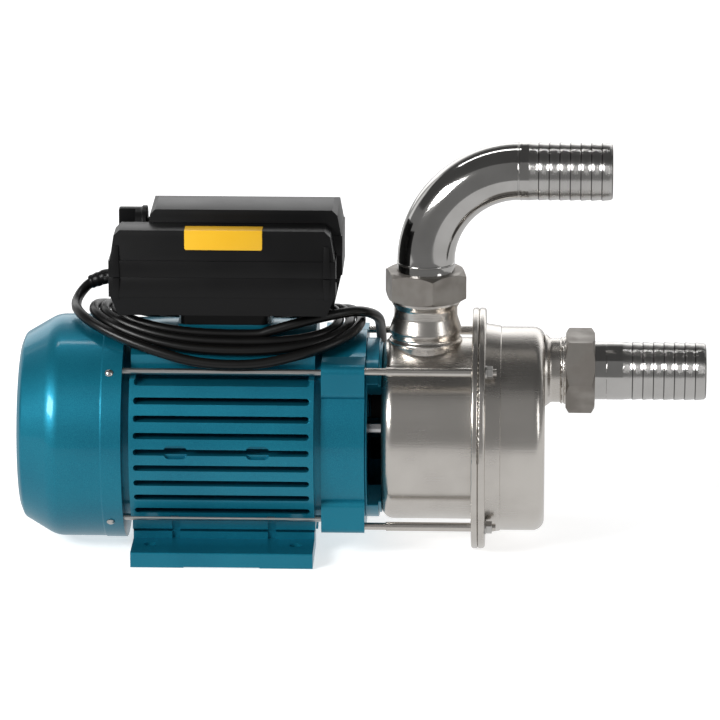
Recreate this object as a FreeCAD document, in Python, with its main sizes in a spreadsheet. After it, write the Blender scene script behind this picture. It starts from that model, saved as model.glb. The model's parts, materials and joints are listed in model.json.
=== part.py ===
"""Electric transfer pump with a stainless self-priming head, as separate pieces, in millimetres.

The origin is the centre of the four foot holes, on the underside of the feet. +X runs along
the shaft from the fan to the suction side, +Z is up, and -Y is the side with the front box.
"""
import FreeCAD, Part
import math
import os

import Sketcher

V = FreeCAD.Vector
doc = FreeCAD.newDocument("TransferPump")


# Driving dimensions

SIZES = {
    # motor frame and feet
    "axis_height": 80.0,
    "frame_length": 126.0,
    "frame_radius": 75.0,
    "frame_wall": 4.0,
    "stator_radius": 55.0,
    "bore_play": 0.05,
    "rib_pitch": 11.3,
    "rib_slot": 4.3,
    "rib_rows": 9,
    "rib_rise": 2.1,
    "rib_end": 3.0,
    "side_pad_y": 42.0,
    "rod_step_z": 49.0,
    "foot_seat_drop": 64.0,
    "platform_length": 64.0,
    "platform_width": 50.0,
    "platform_top": 79.0,
    "wire_hole_radius": 9.0,
    "spare_pad_length": 16.0,
    "spare_pad_height": 9.4,
    "spare_pad_spacing": 56.0,
    "spare_pad_shift": -3.0,
    "spare_pad_depth": 4.0,
    "foot_length": 125.0,
    "foot_thickness": 11.0,
    "foot_reach": 75.8,
    "foot_inner_y": 18.0,
    "foot_hole_x": 100.0,
    "foot_hole_y": 112.0,
    "foot_hole_radius": 4.2,
    "foot_relief": 0.8,
    "foot_relief_length": 52.0,
    "web_slot_width": 5.5,
    "web_slot_depth": 2.5,
    "web_slot_spacing": 66.0,
    "foot_screw_y": 30.0,
    "foot_screw_radius": 3.0,
    "foot_screw_grip": 12.0,
    "foot_screw_seat": 0.4875,
    "foot_screw_head": 0.375,
    # motor rods, shields and bracket
    "motor_rod_y": 48.0,
    "motor_rod_z": 52.0,
    "motor_rod_radius": 2.25,
    "rear_shield_rim": 5.3,
    "rear_shield_flange": 13.0,
    "spigot_length": 5.0,
    "shield_wall": 6.0,
    "front_relief": 4.7,
    "front_relief_radius": 66.0,
    "front_shield_length": 29.6,
    "front_shield_radius": 68.0,
    "lug_y": 60.0,
    "lug_z": 60.0,
    "lug_inner": 43.0,
    "lug_round": 6.0,
    "rod_anchor": 16.0,
    "bracket_length": 11.1,
    "bracket_radius": 62.0,
    "bracket_bore": 45.0,
    "window_half_angle": 44.0,
    # shaft line
    "rear_bearing_bore": 17.0,
    "rear_bearing_outer": 40.0,
    "rear_bearing_width": 12.0,
    "front_bearing_bore": 20.0,
    "front_bearing_outer": 47.0,
    "front_bearing_width": 14.0,
    "bearing_x": 72.0,
    "ball_radius": 3.6,
    "ball_play": 0.05,
    "run_play": 0.05,
    "shaft_seat_radius": 12.5,
    "shaft_pump_radius": 7.0,
    "shaft_fan_radius": 6.0,
    "shaft_fan_end": 127.0,
    "shaft_thread_radius": 4.0,
    "core_length": 70.0,
    "rotor_radius": 32.5,
    "air_gap": 0.5,
    "stator_slots": 24,
    "slot_width": 4.4,
    "slot_depth": 12.0,
    "winding_length": 15.0,
    # fan and cowl
    "cowl_radius": 77.0,
    "cowl_wall": 1.5,
    "cowl_rim_gap": 5.3,
    "cowl_length": 72.7,
    "cowl_cone": 24.4,
    "cowl_end_radius": 64.0,
    "rim_band": 13.4,
    "rim_step": 0.5,
    "screw_x": 77.0,
    "cowl_screw_angle": 43.0,
    "cowl_screw_head": 2.75,
    "cowl_screw_shank": 1.9,
    "grille_rings": 5,
    "grille_slot": 5.0,
    "grille_bar": 3.4,
    "grille_spokes": 8,
    "fan_radius": 60.0,
    "fan_depth": 20.0,
    "fan_blades": 9,
    "fan_x": 120.0,
    # pump head
    "casing_length": 61.8,
    "casing_radius": 63.0,
    "casing_wall": 2.0,
    "casing_round": 8.0,
    "flange_radius": 83.4,
    "flange_thickness": 4.6,
    "cover_flange": 4.9,
    "cover_length": 45.5,
    "cover_root_radius": 72.0,
    "cover_radius": 70.5,
    "cover_round": 8.0,
    "pump_rod_offset": 55.0,
    "pump_rod_radius": 2.5,
    "sleeve_radius": 3.1,
    "sleeve_gap": 3.6,
    "nut_flats": 8.0,
    "nut_height": 4.0,
    "washer_radius": 4.8,
    "washer_thickness": 1.0,
    "ring_section": 1.3,
    "ring_radius": 72.0,
    "seal_bore": 16.0,
    "seal_seat_length": 6.0,
    "seal_head_length": 6.5,
    "impeller_radius": 48.0,
    "impeller_width": 14.0,
    "impeller_eye": 18.0,
    "impeller_vanes": 6,
    "key_width": 4.0,
    "key_length": 10.0,
    "diffuser_front": 6.0,
    "diffuser_vanes": 8,
    # unions and pipes
    "pipe_radius": 20.0,
    "pipe_bore": 18.0,
    "neck_radius": 22.0,
    "thread_radius": 23.4,
    "inlet_rise": 42.0,
    "inlet_neck_length": 14.2,
    "union_height": 20.0,
    "union_flats": 51.6,
    "union_lip": 3.8,
    "union_engage": 11.5,
    "gasket_thickness": 1.5,
    "inlet_plain": 19.0,
    "barb_count": 8,
    "barb_pitch": 7.2,
    "barb_step": 0.6,
    "outlet_x": 137.8,
    "outlet_neck_height": 93.0,
    "bulge_radius": 24.6,
    "bulge_height": 71.0,
    "waist_radius": 21.8,
    "waist_height": 84.0,
    "ferrule_length": 6.0,
    "bend_radius": 64.0,
    "outlet_plain": 6.0,
    # electrical boxes
    "box_floor": 89.0,
    "box_wall": 2.0,
    "box_mid_y": -14.0,
    "front_box_y": -38.0,
    "front_box_left": -77.0,
    "front_box_right": 76.0,
    "front_split": 115.8,
    "front_rim_low": 102.0,
    "front_rim_top": 127.5,
    "front_box_top": 148.7,
    "rear_box_y": 40.0,
    "rear_box_left": -53.5,
    "rear_box_right": 80.0,
    "rear_split": 126.0,
    "rear_rim_low": 112.0,
    "rear_rim_top": 140.0,
    "rear_box_top": 157.6,
    "rim_out": 2.6,
    "box_chamfer": 5.0,
    "box_draft": 2.6,
    "lid_play": 0.1,
    "knob_radius": 11.0,
    "knob_length": 19.5,
    "knob_y": 13.0,
    "knob_z": 141.5,
    "switch_size": 26.0,
    "switch_length": 34.0,
    "gland_y": 25.0,
    "gland_z": 100.0,
    "gland_flats": 19.0,
    "label_left": -26.0,
    "label_right": 27.0,
    "label_top": 12.0,
    "label_drop": 15.0,
    "label_thickness": 0.3,
    # supply cord
    "cord_radius": 3.5,
    "coil_left": 104.0,
    "coil_right": 95.0,
    "coil_half_width": 58.0,
    "coil_inner_left": 76.0,
    "coil_inner_right": 74.0,
    "coil_inner_width": 27.0,
    "coil_low": 78.0,
    "coil_high": 88.0,
    "plug_radius": 18.0,
    "plug_length": 42.0,
}


class Size:
    """A number together with the spreadsheet expression that gives it."""

    def __init__(self, value, text):
        self.value = value
        self.text = text

    def joined(self, other, sign, flipped=False):
        other = other if isinstance(other, Size) else Size(float(other), "%g" % other)
        first, second = (other, self) if flipped else (self, other)
        work = {"+": first.value + second.value, "-": first.value - second.value,
                "*": first.value * second.value}
        value = first.value / second.value if sign == "/" else work[sign]
        return Size(value, "(%s %s %s)" % (first.text, sign, second.text))

    def __add__(self, other):
        return self.joined(other, "+")

    def __radd__(self, other):
        return self.joined(other, "+", True)

    def __sub__(self, other):
        return self.joined(other, "-")

    def __rsub__(self, other):
        return self.joined(other, "-", True)

    def __mul__(self, other):
        return self.joined(other, "*")

    def __rmul__(self, other):
        return self.joined(other, "*", True)

    def __truediv__(self, other):
        return self.joined(other, "/")

    def __neg__(self):
        return self.joined(0, "-", True)

    def __float__(self):
        return float(self.value)


sheet = doc.addObject("Spreadsheet::Sheet", "Sizes")
for row, (word, number) in enumerate(SIZES.items(), start=1):
    sheet.set("A%d" % row, word)
    sheet.set("B%d" % row, "%g" % number)
    sheet.setAlias("B%d" % row, word)
doc.recompute()


def size(word):
    """The named driving dimension."""
    return Size(SIZES[word], "Sizes." + word)


def trig(name, angle):
    """Sine or cosine of an angle in degrees."""
    angle = angle if isinstance(angle, Size) else Size(float(angle), "%g" % angle)
    value = getattr(math, name)(math.radians(angle.value))
    return Size(value, "%s(%s * 1 deg)" % (name, angle.text))


def bind(item, **sizes):
    """Bind the properties of an object to sizes, or set plain numbers."""
    for name, value in sizes.items():
        if isinstance(value, Size):
            item.setExpression(name, value.text)
        else:
            setattr(item, name, value)
    return item


def place(item, x=0, y=0, z=0):
    """Bind the position of an object."""
    for axis, value in zip("xyz", (x, y, z)):
        if isinstance(value, Size):
            item.setExpression("Placement.Base." + axis, value.text)
        else:
            item.setExpression("Placement.Base." + axis, "%g" % value)
    return item


# Stations along the shaft, from the frame outwards

axis_z = size("axis_height")
frame_end = size("frame_length") / 2
cowl_rim_x = -frame_end - size("cowl_rim_gap")
cowl_end_x = cowl_rim_x - size("cowl_length")
shield_face = frame_end + size("front_relief")
bracket_x = shield_face + size("front_shield_length")
casing_x = bracket_x + size("bracket_length")
flange_x = casing_x + size("casing_length")
cover_x = flange_x + size("flange_thickness")
cover_face = cover_x + size("cover_flange")
cover_end = cover_x + size("cover_length")
inlet_nut_x = cover_end + size("inlet_neck_length")
seat_end = casing_x + size("seal_seat_length")
head_end = seat_end + size("seal_head_length") + size("run_play")
impeller_x = head_end
impeller_end = impeller_x + size("impeller_width")


# Sketch and feature helpers

PLANE_ROLES = {"XY": "XY_Plane", "XZ": "XZ_Plane", "YZ": "YZ_Plane"}


def new_body(label):
    """A body that will be written as one node."""
    body = doc.addObject("PartDesign::Body", "Body_" + label)
    body.Label = label
    return body


def new_sketch(body, plane, name, offset=0):
    """A sketch on an origin plane of its own body, moved along the plane's normal."""
    sketch = body.newObject("Sketcher::SketchObject", name)
    face = [f for f in body.Origin.OriginFeatures if f.Role == PLANE_ROLES[plane]][0]
    sketch.AttachmentSupport = [(face, "")]
    sketch.MapMode = "FlatFace"
    if isinstance(offset, Size):
        sketch.setExpression("AttachmentOffset.Base.z", offset.text)
    elif offset:
        sketch.AttachmentOffset = FreeCAD.Placement(V(0, 0, offset), FreeCAD.Rotation())
    return sketch


def number(value):
    return float(value)


def pin_point(sketch, geometry, position, x, y):
    """Hold one point of the sketch at bound coordinates."""
    for kind, value in (("DistanceX", x), ("DistanceY", y)):
        index = sketch.addConstraint(
            Sketcher.Constraint(kind, -1, 1, geometry, position, number(value)))
        if isinstance(value, Size):
            sketch.setExpression("Constraints[%d]" % index, value.text)


def outline(sketch, corners):
    """A closed outline through corners (x, y) or (x, y, round), each coordinate bound."""
    count = len(corners)
    places = [V(number(c[0]), number(c[1]), 0) for c in corners]
    starts, ends, arcs = [], [], {}
    for i, corner in enumerate(corners):
        here = places[i]
        if len(corner) == 2:
            starts.append(here)
            ends.append(here)
            continue
        before = (places[i - 1] - here).normalize()
        after = (places[(i + 1) % count] - here).normalize()
        half = math.acos(max(-1.0, min(1.0, before.dot(after)))) / 2
        radius = number(corner[2])
        reach = radius / math.tan(half)
        middle = here + (before + after).normalize() * (radius / math.sin(half))
        first = here + before * reach
        last = here + after * reach
        bisector = here + (before + after).normalize() * (radius / math.sin(half) - radius)
        arcs[i] = (Part.Arc(first, bisector, last), middle)
        ends.append(first)
        starts.append(last)
    lines = [sketch.addGeometry(Part.LineSegment(starts[i], ends[(i + 1) % count]), False)
             for i in range(count)]
    for i in range(count):
        line_in, line_out = lines[i - 1], lines[i]
        if i not in arcs:
            sketch.addConstraint(Sketcher.Constraint("Coincident", line_in, 2, line_out, 1))
            pin_point(sketch, line_out, 1, corners[i][0], corners[i][1])
            continue
        arc = sketch.addGeometry(arcs[i][0], False)
        corner_point = sketch.addGeometry(Part.Point(places[i]), True)
        pin_point(sketch, corner_point, 1, corners[i][0], corners[i][1])
        sketch.addConstraint(Sketcher.Constraint("PointOnObject", corner_point, 1, line_in))
        sketch.addConstraint(Sketcher.Constraint("PointOnObject", corner_point, 1, line_out))
        near = 1 if (sketch.getPoint(arc, 1) - ends[i]).Length < 1e-6 else 2
        sketch.addConstraint(Sketcher.Constraint("Tangent", line_in, 2, arc, near))
        sketch.addConstraint(Sketcher.Constraint("Tangent", line_out, 1, arc, 3 - near))
        index = sketch.addConstraint(Sketcher.Constraint("Radius", arc, number(corners[i][2])))
        if isinstance(corners[i][2], Size):
            sketch.setExpression("Constraints[%d]" % index, corners[i][2].text)
    return sketch


def circle(sketch, x, y, radius):
    """A circle with bound centre and radius."""
    shape = Part.Circle(V(number(x), number(y), 0), V(0, 0, 1), number(radius))
    index = sketch.addGeometry(shape, False)
    pin_point(sketch, index, 3, x, y)
    held = sketch.addConstraint(Sketcher.Constraint("Radius", index, number(radius)))
    if isinstance(radius, Size):
        sketch.setExpression("Constraints[%d]" % held, radius.text)
    return index


def rectangle(sketch, x_low, x_high, y_low, y_high, round_radius=None):
    """A rectangle with bound sides, and rounded corners where a radius is given."""
    corners = [(x_low, y_low), (x_high, y_low), (x_high, y_high), (x_low, y_high)]
    if round_radius is not None:
        corners = [corner + (round_radius,) for corner in corners]
    return outline(sketch, corners)


def feature(body, kind, sketch, name, **sizes):
    """A sketch-based feature of a body."""
    item = body.newObject("PartDesign::" + kind, name)
    item.Profile = sketch
    return bind(item, **sizes)


def spin(body, kind, sketch, axis="H_Axis", angle=360, name="Turn"):
    """A full or part turn of a sketch about one of its own axes."""
    item = feature(body, kind, sketch, name)
    item.ReferenceAxis = (sketch, [axis])
    item.Angle = angle
    return item


def polar(body, originals, count, axis="X_Axis", name="Ring"):
    """Copies of features round an axis of the body."""
    item = body.newObject("PartDesign::PolarPattern", name)
    item.Originals = originals
    line = [f for f in body.Origin.OriginFeatures if f.Role == axis][0]
    item.Axis = (line, [""])
    item.Angle = 360
    bind(item, Occurrences=count)
    body.Tip = item
    return item


def mirrored(body, originals, plane="XZ", name="Mirror"):
    """The same features on the other side of an origin plane."""
    item = body.newObject("PartDesign::Mirrored", name)
    item.Originals = originals
    face = [f for f in body.Origin.OriginFeatures if f.Role == PLANE_ROLES[plane]][0]
    item.MirrorPlane = (face, [""])
    body.Tip = item
    return item


def turned(label, corners, z=axis_z, x=0, y=0):
    """A piece turned about a line parallel to X, from its half section (x, radius)."""
    body = new_body(label)
    sketch = outline(new_sketch(body, "XZ", label + "_section"), corners)
    spin(body, "Revolution", sketch, name=label + "_turn")
    place(body, x, y, z)
    return body


def ring(x_low, x_high, r_low, r_high):
    """The half section of a plain ring."""
    return [(x_low, r_low), (x_high, r_low), (x_high, r_high), (x_low, r_high)]


def through_cut(body, plane, name, draw, offset=0):
    """A pocket right through, both ways from its plane."""
    sketch = new_sketch(body, plane, name + "_sketch", offset)
    draw(sketch)
    item = feature(body, "Pocket", sketch, name)
    item.Type = 1
    item.Midplane = True
    return item


def cut_from(body, plane, name, draw, offset, depth, outwards=False):
    """A pocket of bound depth, from a moved plane."""
    sketch = new_sketch(body, plane, name + "_sketch", offset)
    draw(sketch)
    item = feature(body, "Pocket", sketch, name, Length=depth)
    item.Reversed = outwards
    return item


def group(label, shapes, z=axis_z):
    """Identical pieces that share one node, made from shapes about the shaft axis."""
    item = doc.addObject("Part::Feature", label)
    item.Label = label
    item.Shape = Part.Compound(shapes)
    place(item, 0, 0, z)
    return item


def cylinder_x(x_low, x_high, y, z, radius):
    """A plain cylinder parallel to X."""
    return Part.makeCylinder(number(radius), number(x_high) - number(x_low),
                             V(number(x_low), number(y), number(z)), V(1, 0, 0))


def hexagon_x(x_low, x_high, y, z, flats, turn=0):
    """A hexagonal prism parallel to X."""
    reach = number(flats) / math.sqrt(3)
    points = []
    for side in range(7):
        angle = math.radians(60 * side + turn)
        points.append(V(number(x_low), number(y) + reach * math.cos(angle),
                        number(z) + reach * math.sin(angle)))
    return Part.Face(Part.makePolygon(points)).extrude(V(number(x_high) - number(x_low), 0, 0))


CORNERS = [(1, 1), (-1, 1), (-1, -1), (1, -1)]


# Motor frame: a ribbed round housing with stepped corners, a top platform and a flat underside

def motor_frame():
    body = new_body("motor_frame")
    half = frame_end
    ribs = new_sketch(body, "YZ", "frame_rib_ring", -half)
    circle(ribs, 0, 0, size("frame_radius"))
    circle(ribs, 0, 0, size("stator_radius") + size("frame_wall") - 0.5)
    feature(body, "Pad", ribs, "frame_ribs", Length=size("frame_length"))
    slot_half = size("rib_slot") / 2
    last_row = size("rib_pitch") * (size("rib_rows") - 1) / 2
    slot_end = half - size("rib_end")
    slots = through_cut(body, "XZ", "frame_slot", lambda s: rectangle(
        s, -slot_end, slot_end, size("rib_rise") - last_row - slot_half,
        size("rib_rise") - last_row + slot_half, slot_half * 0.98))
    rows = body.newObject("PartDesign::LinearPattern", "frame_slot_rows")
    rows.Originals = [slots]
    rows.Direction = ([f for f in body.Origin.OriginFeatures if f.Role == "Z_Axis"][0], [""])
    bind(rows, Length=last_row * 2, Occurrences=size("rib_rows"))
    body.Tip = rows
    core = new_sketch(body, "YZ", "frame_core_ring", -half)
    circle(core, 0, 0, size("stator_radius") + size("frame_wall"))
    circle(core, 0, 0, size("stator_radius"))
    feature(body, "Pad", core, "frame_core", Length=size("frame_length"))
    top = new_sketch(body, "XY", "frame_platform_sketch", size("frame_radius") - 10)
    rectangle(top, -size("platform_length") / 2, size("platform_length") / 2,
              -size("platform_width") / 2, size("platform_width") / 2, 6)
    feature(body, "Pad", top, "frame_platform",
            Length=size("platform_top") - size("frame_radius") + 10)
    pad_y = size("side_pad_y")
    step_z = size("rod_step_z")
    far = size("frame_radius") + 5
    for index, (side, end) in enumerate(CORNERS):
        low_y, high_y = (pad_y, far) if side > 0 else (-far, -pad_y)
        low_z, high_z = (step_z, far) if end > 0 else (-far, -step_z)
        through_cut(body, "YZ", "frame_rod_step_%d" % index,
                    lambda s: rectangle(s, low_y, high_y, low_z, high_z))
    through_cut(body, "YZ", "frame_foot_flat", lambda s: rectangle(
        s, -pad_y - 1, pad_y + 1, -far, -size("foot_seat_drop")))
    cut_from(body, "XY", "frame_wire_hole",
             lambda s: circle(s, 0, 0, size("wire_hole_radius")),
             0, size("platform_top") + 2, True)
    low = size("foot_seat_drop") - size("foot_screw_grip")

    def screw_holes(s):
        for side, end in CORNERS:
            circle(s, size("web_slot_spacing") / 2 * side, size("foot_screw_y") * end,
                   size("foot_screw_radius") + size("run_play"))
    cut_from(body, "XY", "frame_screw_holes", screw_holes, -low,
             size("foot_screw_grip") + 1)
    grooves = []
    for side in (-1, 1):
        grooves.append(cut_from(body, "XZ", "frame_web_slot_%d" % (side + 2), lambda s: rectangle(
            s, size("web_slot_spacing") / 2 * side - size("web_slot_width") / 2,
            size("web_slot_spacing") / 2 * side + size("web_slot_width") / 2,
            -far, -step_z + 1), pad_y - size("web_slot_depth"), 20, True))
        grooves.append(cut_from(body, "XZ", "frame_spare_pad_%d" % (side + 2), lambda s: rectangle(
            s, size("spare_pad_shift") + size("spare_pad_spacing") / 2 * side
            - size("spare_pad_length") / 2,
            size("spare_pad_shift") + size("spare_pad_spacing") / 2 * side
            + size("spare_pad_length") / 2,
            size("rib_rise") - size("spare_pad_height") / 2,
            size("rib_rise") + size("spare_pad_height") / 2,
            size("spare_pad_height") * 0.4),
            size("frame_radius") - size("spare_pad_depth"), 20, True))
    mirrored(body, grooves, name="frame_far_side")
    place(body, z=axis_z)


# Feet: one bolted along each side, with a web that carries on the frame's side pad

def foot(label, side):
    body = new_body(label)
    pad_y = size("side_pad_y")
    base = -axis_z
    top = -size("foot_seat_drop")
    section = new_sketch(body, "YZ", label + "_section", -size("foot_length") / 2)
    inner = size("foot_inner_y") * side
    outline(section, [(inner, top), (inner, base), (size("foot_reach") * side, base, 1.2),
                      (size("foot_reach") * side, base + size("foot_thickness"), 1.2),
                      (pad_y * side, base + size("foot_thickness")), (pad_y * side, top)])
    feature(body, "Pad", section, label + "_block", Length=size("foot_length"))
    reach = size("foot_relief_length") / 2
    cut_from(body, "XZ", label + "_relief", lambda s: rectangle(
        s, -reach, reach, base - 2, base + size("foot_relief")), 0, size("foot_reach") + 2, side < 0)

    def holes(s):
        for end in (-1, 1):
            circle(s, size("foot_hole_x") / 2 * end, size("foot_hole_y") / 2 * side,
                   size("foot_hole_radius"))
    through_cut(body, "XY", label + "_holes", holes)

    def screws(radius):
        def draw(s):
            for end in (-1, 1):
                circle(s, size("web_slot_spacing") / 2 * end, size("foot_screw_y") * side, radius)
        return draw
    through_cut(body, "XY", label + "_screw_holes",
                screws(size("foot_screw_radius") + size("run_play")))
    cut_from(body, "XY", label + "_counterbores", screws(size("foot_screw_radius") + 2.6),
             base - 1, (top - base) * size("foot_screw_seat") + 1, True)
    for end in (-1, 1):
        cut_from(body, "XZ", label + "_web_slot_%d" % (end + 2), lambda s: rectangle(
            s, size("web_slot_spacing") / 2 * end - size("web_slot_width") / 2,
            size("web_slot_spacing") / 2 * end + size("web_slot_width") / 2,
            base + size("foot_thickness"), top + 2),
            -side * (pad_y - size("web_slot_depth")), 10, side < 0)
    place(body, z=axis_z)


def foot_screws():
    shapes = []
    radius = SIZES["foot_screw_radius"]
    height = SIZES["axis_height"] - SIZES["foot_seat_drop"]
    seat = -SIZES["axis_height"] + height * SIZES["foot_screw_seat"]
    head_height = height * SIZES["foot_screw_head"]
    length = -SIZES["foot_seat_drop"] + SIZES["foot_screw_grip"] - 1 - seat
    for side, end in CORNERS:
        x = SIZES["web_slot_spacing"] / 2 * side
        y = SIZES["foot_screw_y"] * end
        shank = Part.makeCylinder(radius, length, V(x, y, seat))
        head = Part.makeCylinder(radius + 2, head_height, V(x, y, seat - head_height))
        socket = Part.makeCylinder(radius * 0.8, head_height / 2, V(x, y, seat - head_height))
        shapes.append(shank.fuse(head).cut(socket).removeSplitter())
    group("foot_screws", shapes)


# Shields, bracket and the long bolts that clamp them

def rod_holes(radius, y, z):
    """Draws the four holes of a rod pattern."""
    def draw(s):
        for side, end in CORNERS:
            circle(s, y * side, z * end, radius)
    return draw


def rear_shield():
    rim = frame_end + size("rear_shield_rim")
    back = rim + size("rear_shield_flange")
    outer = size("rear_bearing_outer") / 2
    near = size("bearing_x")
    far = near + size("rear_bearing_width")
    lip = far + 2.5
    bore = size("stator_radius") - size("bore_play")
    edge = size("cowl_radius") + size("rim_step") - size("cowl_wall") - size("run_play")
    body = turned("rear_shield", [
        (-frame_end, size("stator_radius") + 9), (-rim, size("stator_radius") + 9),
        (-rim, edge), (-back, edge), (-back, edge - 12), (-back + 6, edge - 13),
        (-back + 6, outer + 9), (-lip, outer + 6), (-lip, size("shaft_pump_radius") + 3),
        (-far, size("shaft_pump_radius") + 3), (-far, outer), (-near, outer),
        (-near + 3, outer), (-near + 3, outer + 6), (-frame_end - 2, bore - 6),
        (-frame_end + size("spigot_length"), bore - 6), (-frame_end + size("spigot_length"), bore),
        (-frame_end, bore)])
    through_cut(body, "YZ", "rear_shield_rods", rod_holes(
        size("motor_rod_radius") + size("run_play"), size("motor_rod_y"), size("motor_rod_z")))
    for index, (side, end) in enumerate(CORNERS):
        screw_hole(body, "rear_shield_tap_%d" % index, side, end,
                   size("cowl_screw_shank") + size("run_play"))


def front_shield():
    body = new_body("front_shield")
    main = new_sketch(body, "YZ", "front_shield_round", shield_face)
    circle(main, 0, 0, size("front_shield_radius"))
    feature(body, "Pad", main, "front_shield_drum", Length=size("front_shield_length"))
    for index, (side, end) in enumerate(CORNERS):
        lug = new_sketch(body, "YZ", "front_shield_lug_sketch_%d" % index, shield_face)
        low_y, high_y = (30, size("lug_y")) if side > 0 else (-size("lug_y"), -30)
        low_z, high_z = ((size("lug_inner") - 8, size("lug_z")) if end > 0
                         else (-size("lug_z"), 8 - size("lug_inner")))
        rectangle(lug, low_y, high_y, low_z, high_z, size("lug_round"))
        feature(body, "Pad", lug, "front_shield_lug_%d" % index,
                Length=size("front_shield_length"))
    wall = size("shield_wall")
    outer = size("front_bearing_outer") / 2
    near = size("bearing_x")
    far = near + size("front_bearing_width")
    bore = size("stator_radius") - size("bore_play")
    neck = outline(new_sketch(body, "XZ", "front_shield_neck_section"), [
        (frame_end - size("spigot_length"), bore - 6), (frame_end - size("spigot_length"), bore),
        (frame_end, bore), (frame_end, size("front_relief_radius")),
        (shield_face + 1, size("front_relief_radius")), (shield_face + 1, bore - 6)])
    spin(body, "Revolution", neck, name="front_shield_neck")
    hollow = outline(new_sketch(body, "XZ", "front_shield_hollow_section"), [
        (frame_end - size("spigot_length") - 1, 0), (frame_end - size("spigot_length") - 1, bore - 6),
        (near - 1, bore - 6), (near - 1, outer + wall), (near, outer + wall), (near, outer),
        (far, outer), (far, size("shaft_seat_radius") + 3), (bracket_x - 4, outer),
        (bracket_x - 4, size("bracket_bore")), (bracket_x + 1, size("bracket_bore")),
        (bracket_x + 1, 0)])
    spin(body, "Groove", hollow, name="front_shield_hollow")
    anchor = size("rod_anchor")
    play = size("run_play")
    cut_from(body, "YZ", "front_shield_motor_rods", rod_holes(
        size("motor_rod_radius") + play, size("motor_rod_y"), size("motor_rod_z")),
        shield_face + anchor, anchor + size("front_relief") + 1)
    offset = size("pump_rod_offset")
    cut_from(body, "YZ", "front_shield_pump_rods", rod_holes(
        size("pump_rod_radius") + play, offset, offset),
        bracket_x - anchor, anchor + 1, True)
    place(body, z=axis_z)


def pump_bracket():
    body = turned("pump_bracket", [
        (bracket_x, size("bracket_bore")), (casing_x, size("bracket_bore")),
        (casing_x, size("bracket_radius") - 3), (casing_x - 2, size("bracket_radius") - 3),
        (casing_x - 2, size("bracket_radius")), (bracket_x, size("bracket_radius"))])
    half = size("window_half_angle")
    reach = size("bracket_radius") + 6
    run = reach * trig("cos", half)
    rise = reach * trig("sin", half)
    for side in (-1, 1):
        sketch = new_sketch(body, "YZ", "pump_bracket_window_sketch_%d" % (side + 2), bracket_x + 1.5)
        inner = size("bracket_bore") * trig("cos", half) - 6
        inner_rise = size("bracket_bore") * trig("sin", half) - 4
        points = [(inner * side, -inner_rise), (run * side, -rise), (reach * side, -rise),
                  (reach * side, rise), (run * side, rise), (inner * side, inner_rise)]
        outline(sketch, points)
        feature(body, "Pocket", sketch, "pump_bracket_window_%d" % (side + 2),
                Length=size("bracket_length")).Reversed = True


def motor_rods():
    radius = SIZES["motor_rod_radius"]
    head_x = -number(frame_end) - SIZES["rear_shield_rim"] - SIZES["rear_shield_flange"]
    tip_x = number(shield_face) + SIZES["rod_anchor"] - 1
    shapes = []
    for side, end in CORNERS:
        y = SIZES["motor_rod_y"] * side
        z = SIZES["motor_rod_z"] * end
        rod = cylinder_x(head_x - 3, tip_x, y, z, radius)
        head = hexagon_x(head_x - 3, head_x, y, z, 7)
        shapes.append(rod.fuse(head).removeSplitter())
    group("motor_tie_bolts", shapes)


# Shaft line

def bearing(name, x_low, bore, outer, width):
    """A deep-groove ball bearing: outer ring, inner ring and balls as three nodes."""
    middle = x_low + width / 2
    pitch = (bore + outer) / 4
    ball = size("ball_radius")
    groove = ball + size("ball_play")
    land = ball * 0.62
    x_high = x_low + width
    for part, inner_side in (("outer", False), ("inner", True)):
        label = "%s_bearing_%s" % (name, part)
        wall = bore / 2 if inner_side else outer / 2
        edge = pitch - land if inner_side else pitch + land
        body = turned(label, ring(x_low, x_high, wall, edge) if inner_side
                      else ring(x_low, x_high, edge, wall))
        section = new_sketch(body, "XZ", label + "_track_section")
        circle(section, middle, pitch, groove)
        spin(body, "Groove", section, name=label + "_track")
    radius = number(ball)
    count = int(2 * math.pi * number(pitch) / (2.5 * radius))
    balls = []
    for i in range(count):
        angle = 2 * math.pi * i / count
        centre = V(number(middle), number(pitch) * math.cos(angle), number(pitch) * math.sin(angle))
        balls.append(Part.makeSphere(radius, centre))
    group("%s_bearing_balls" % name, balls)


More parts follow.
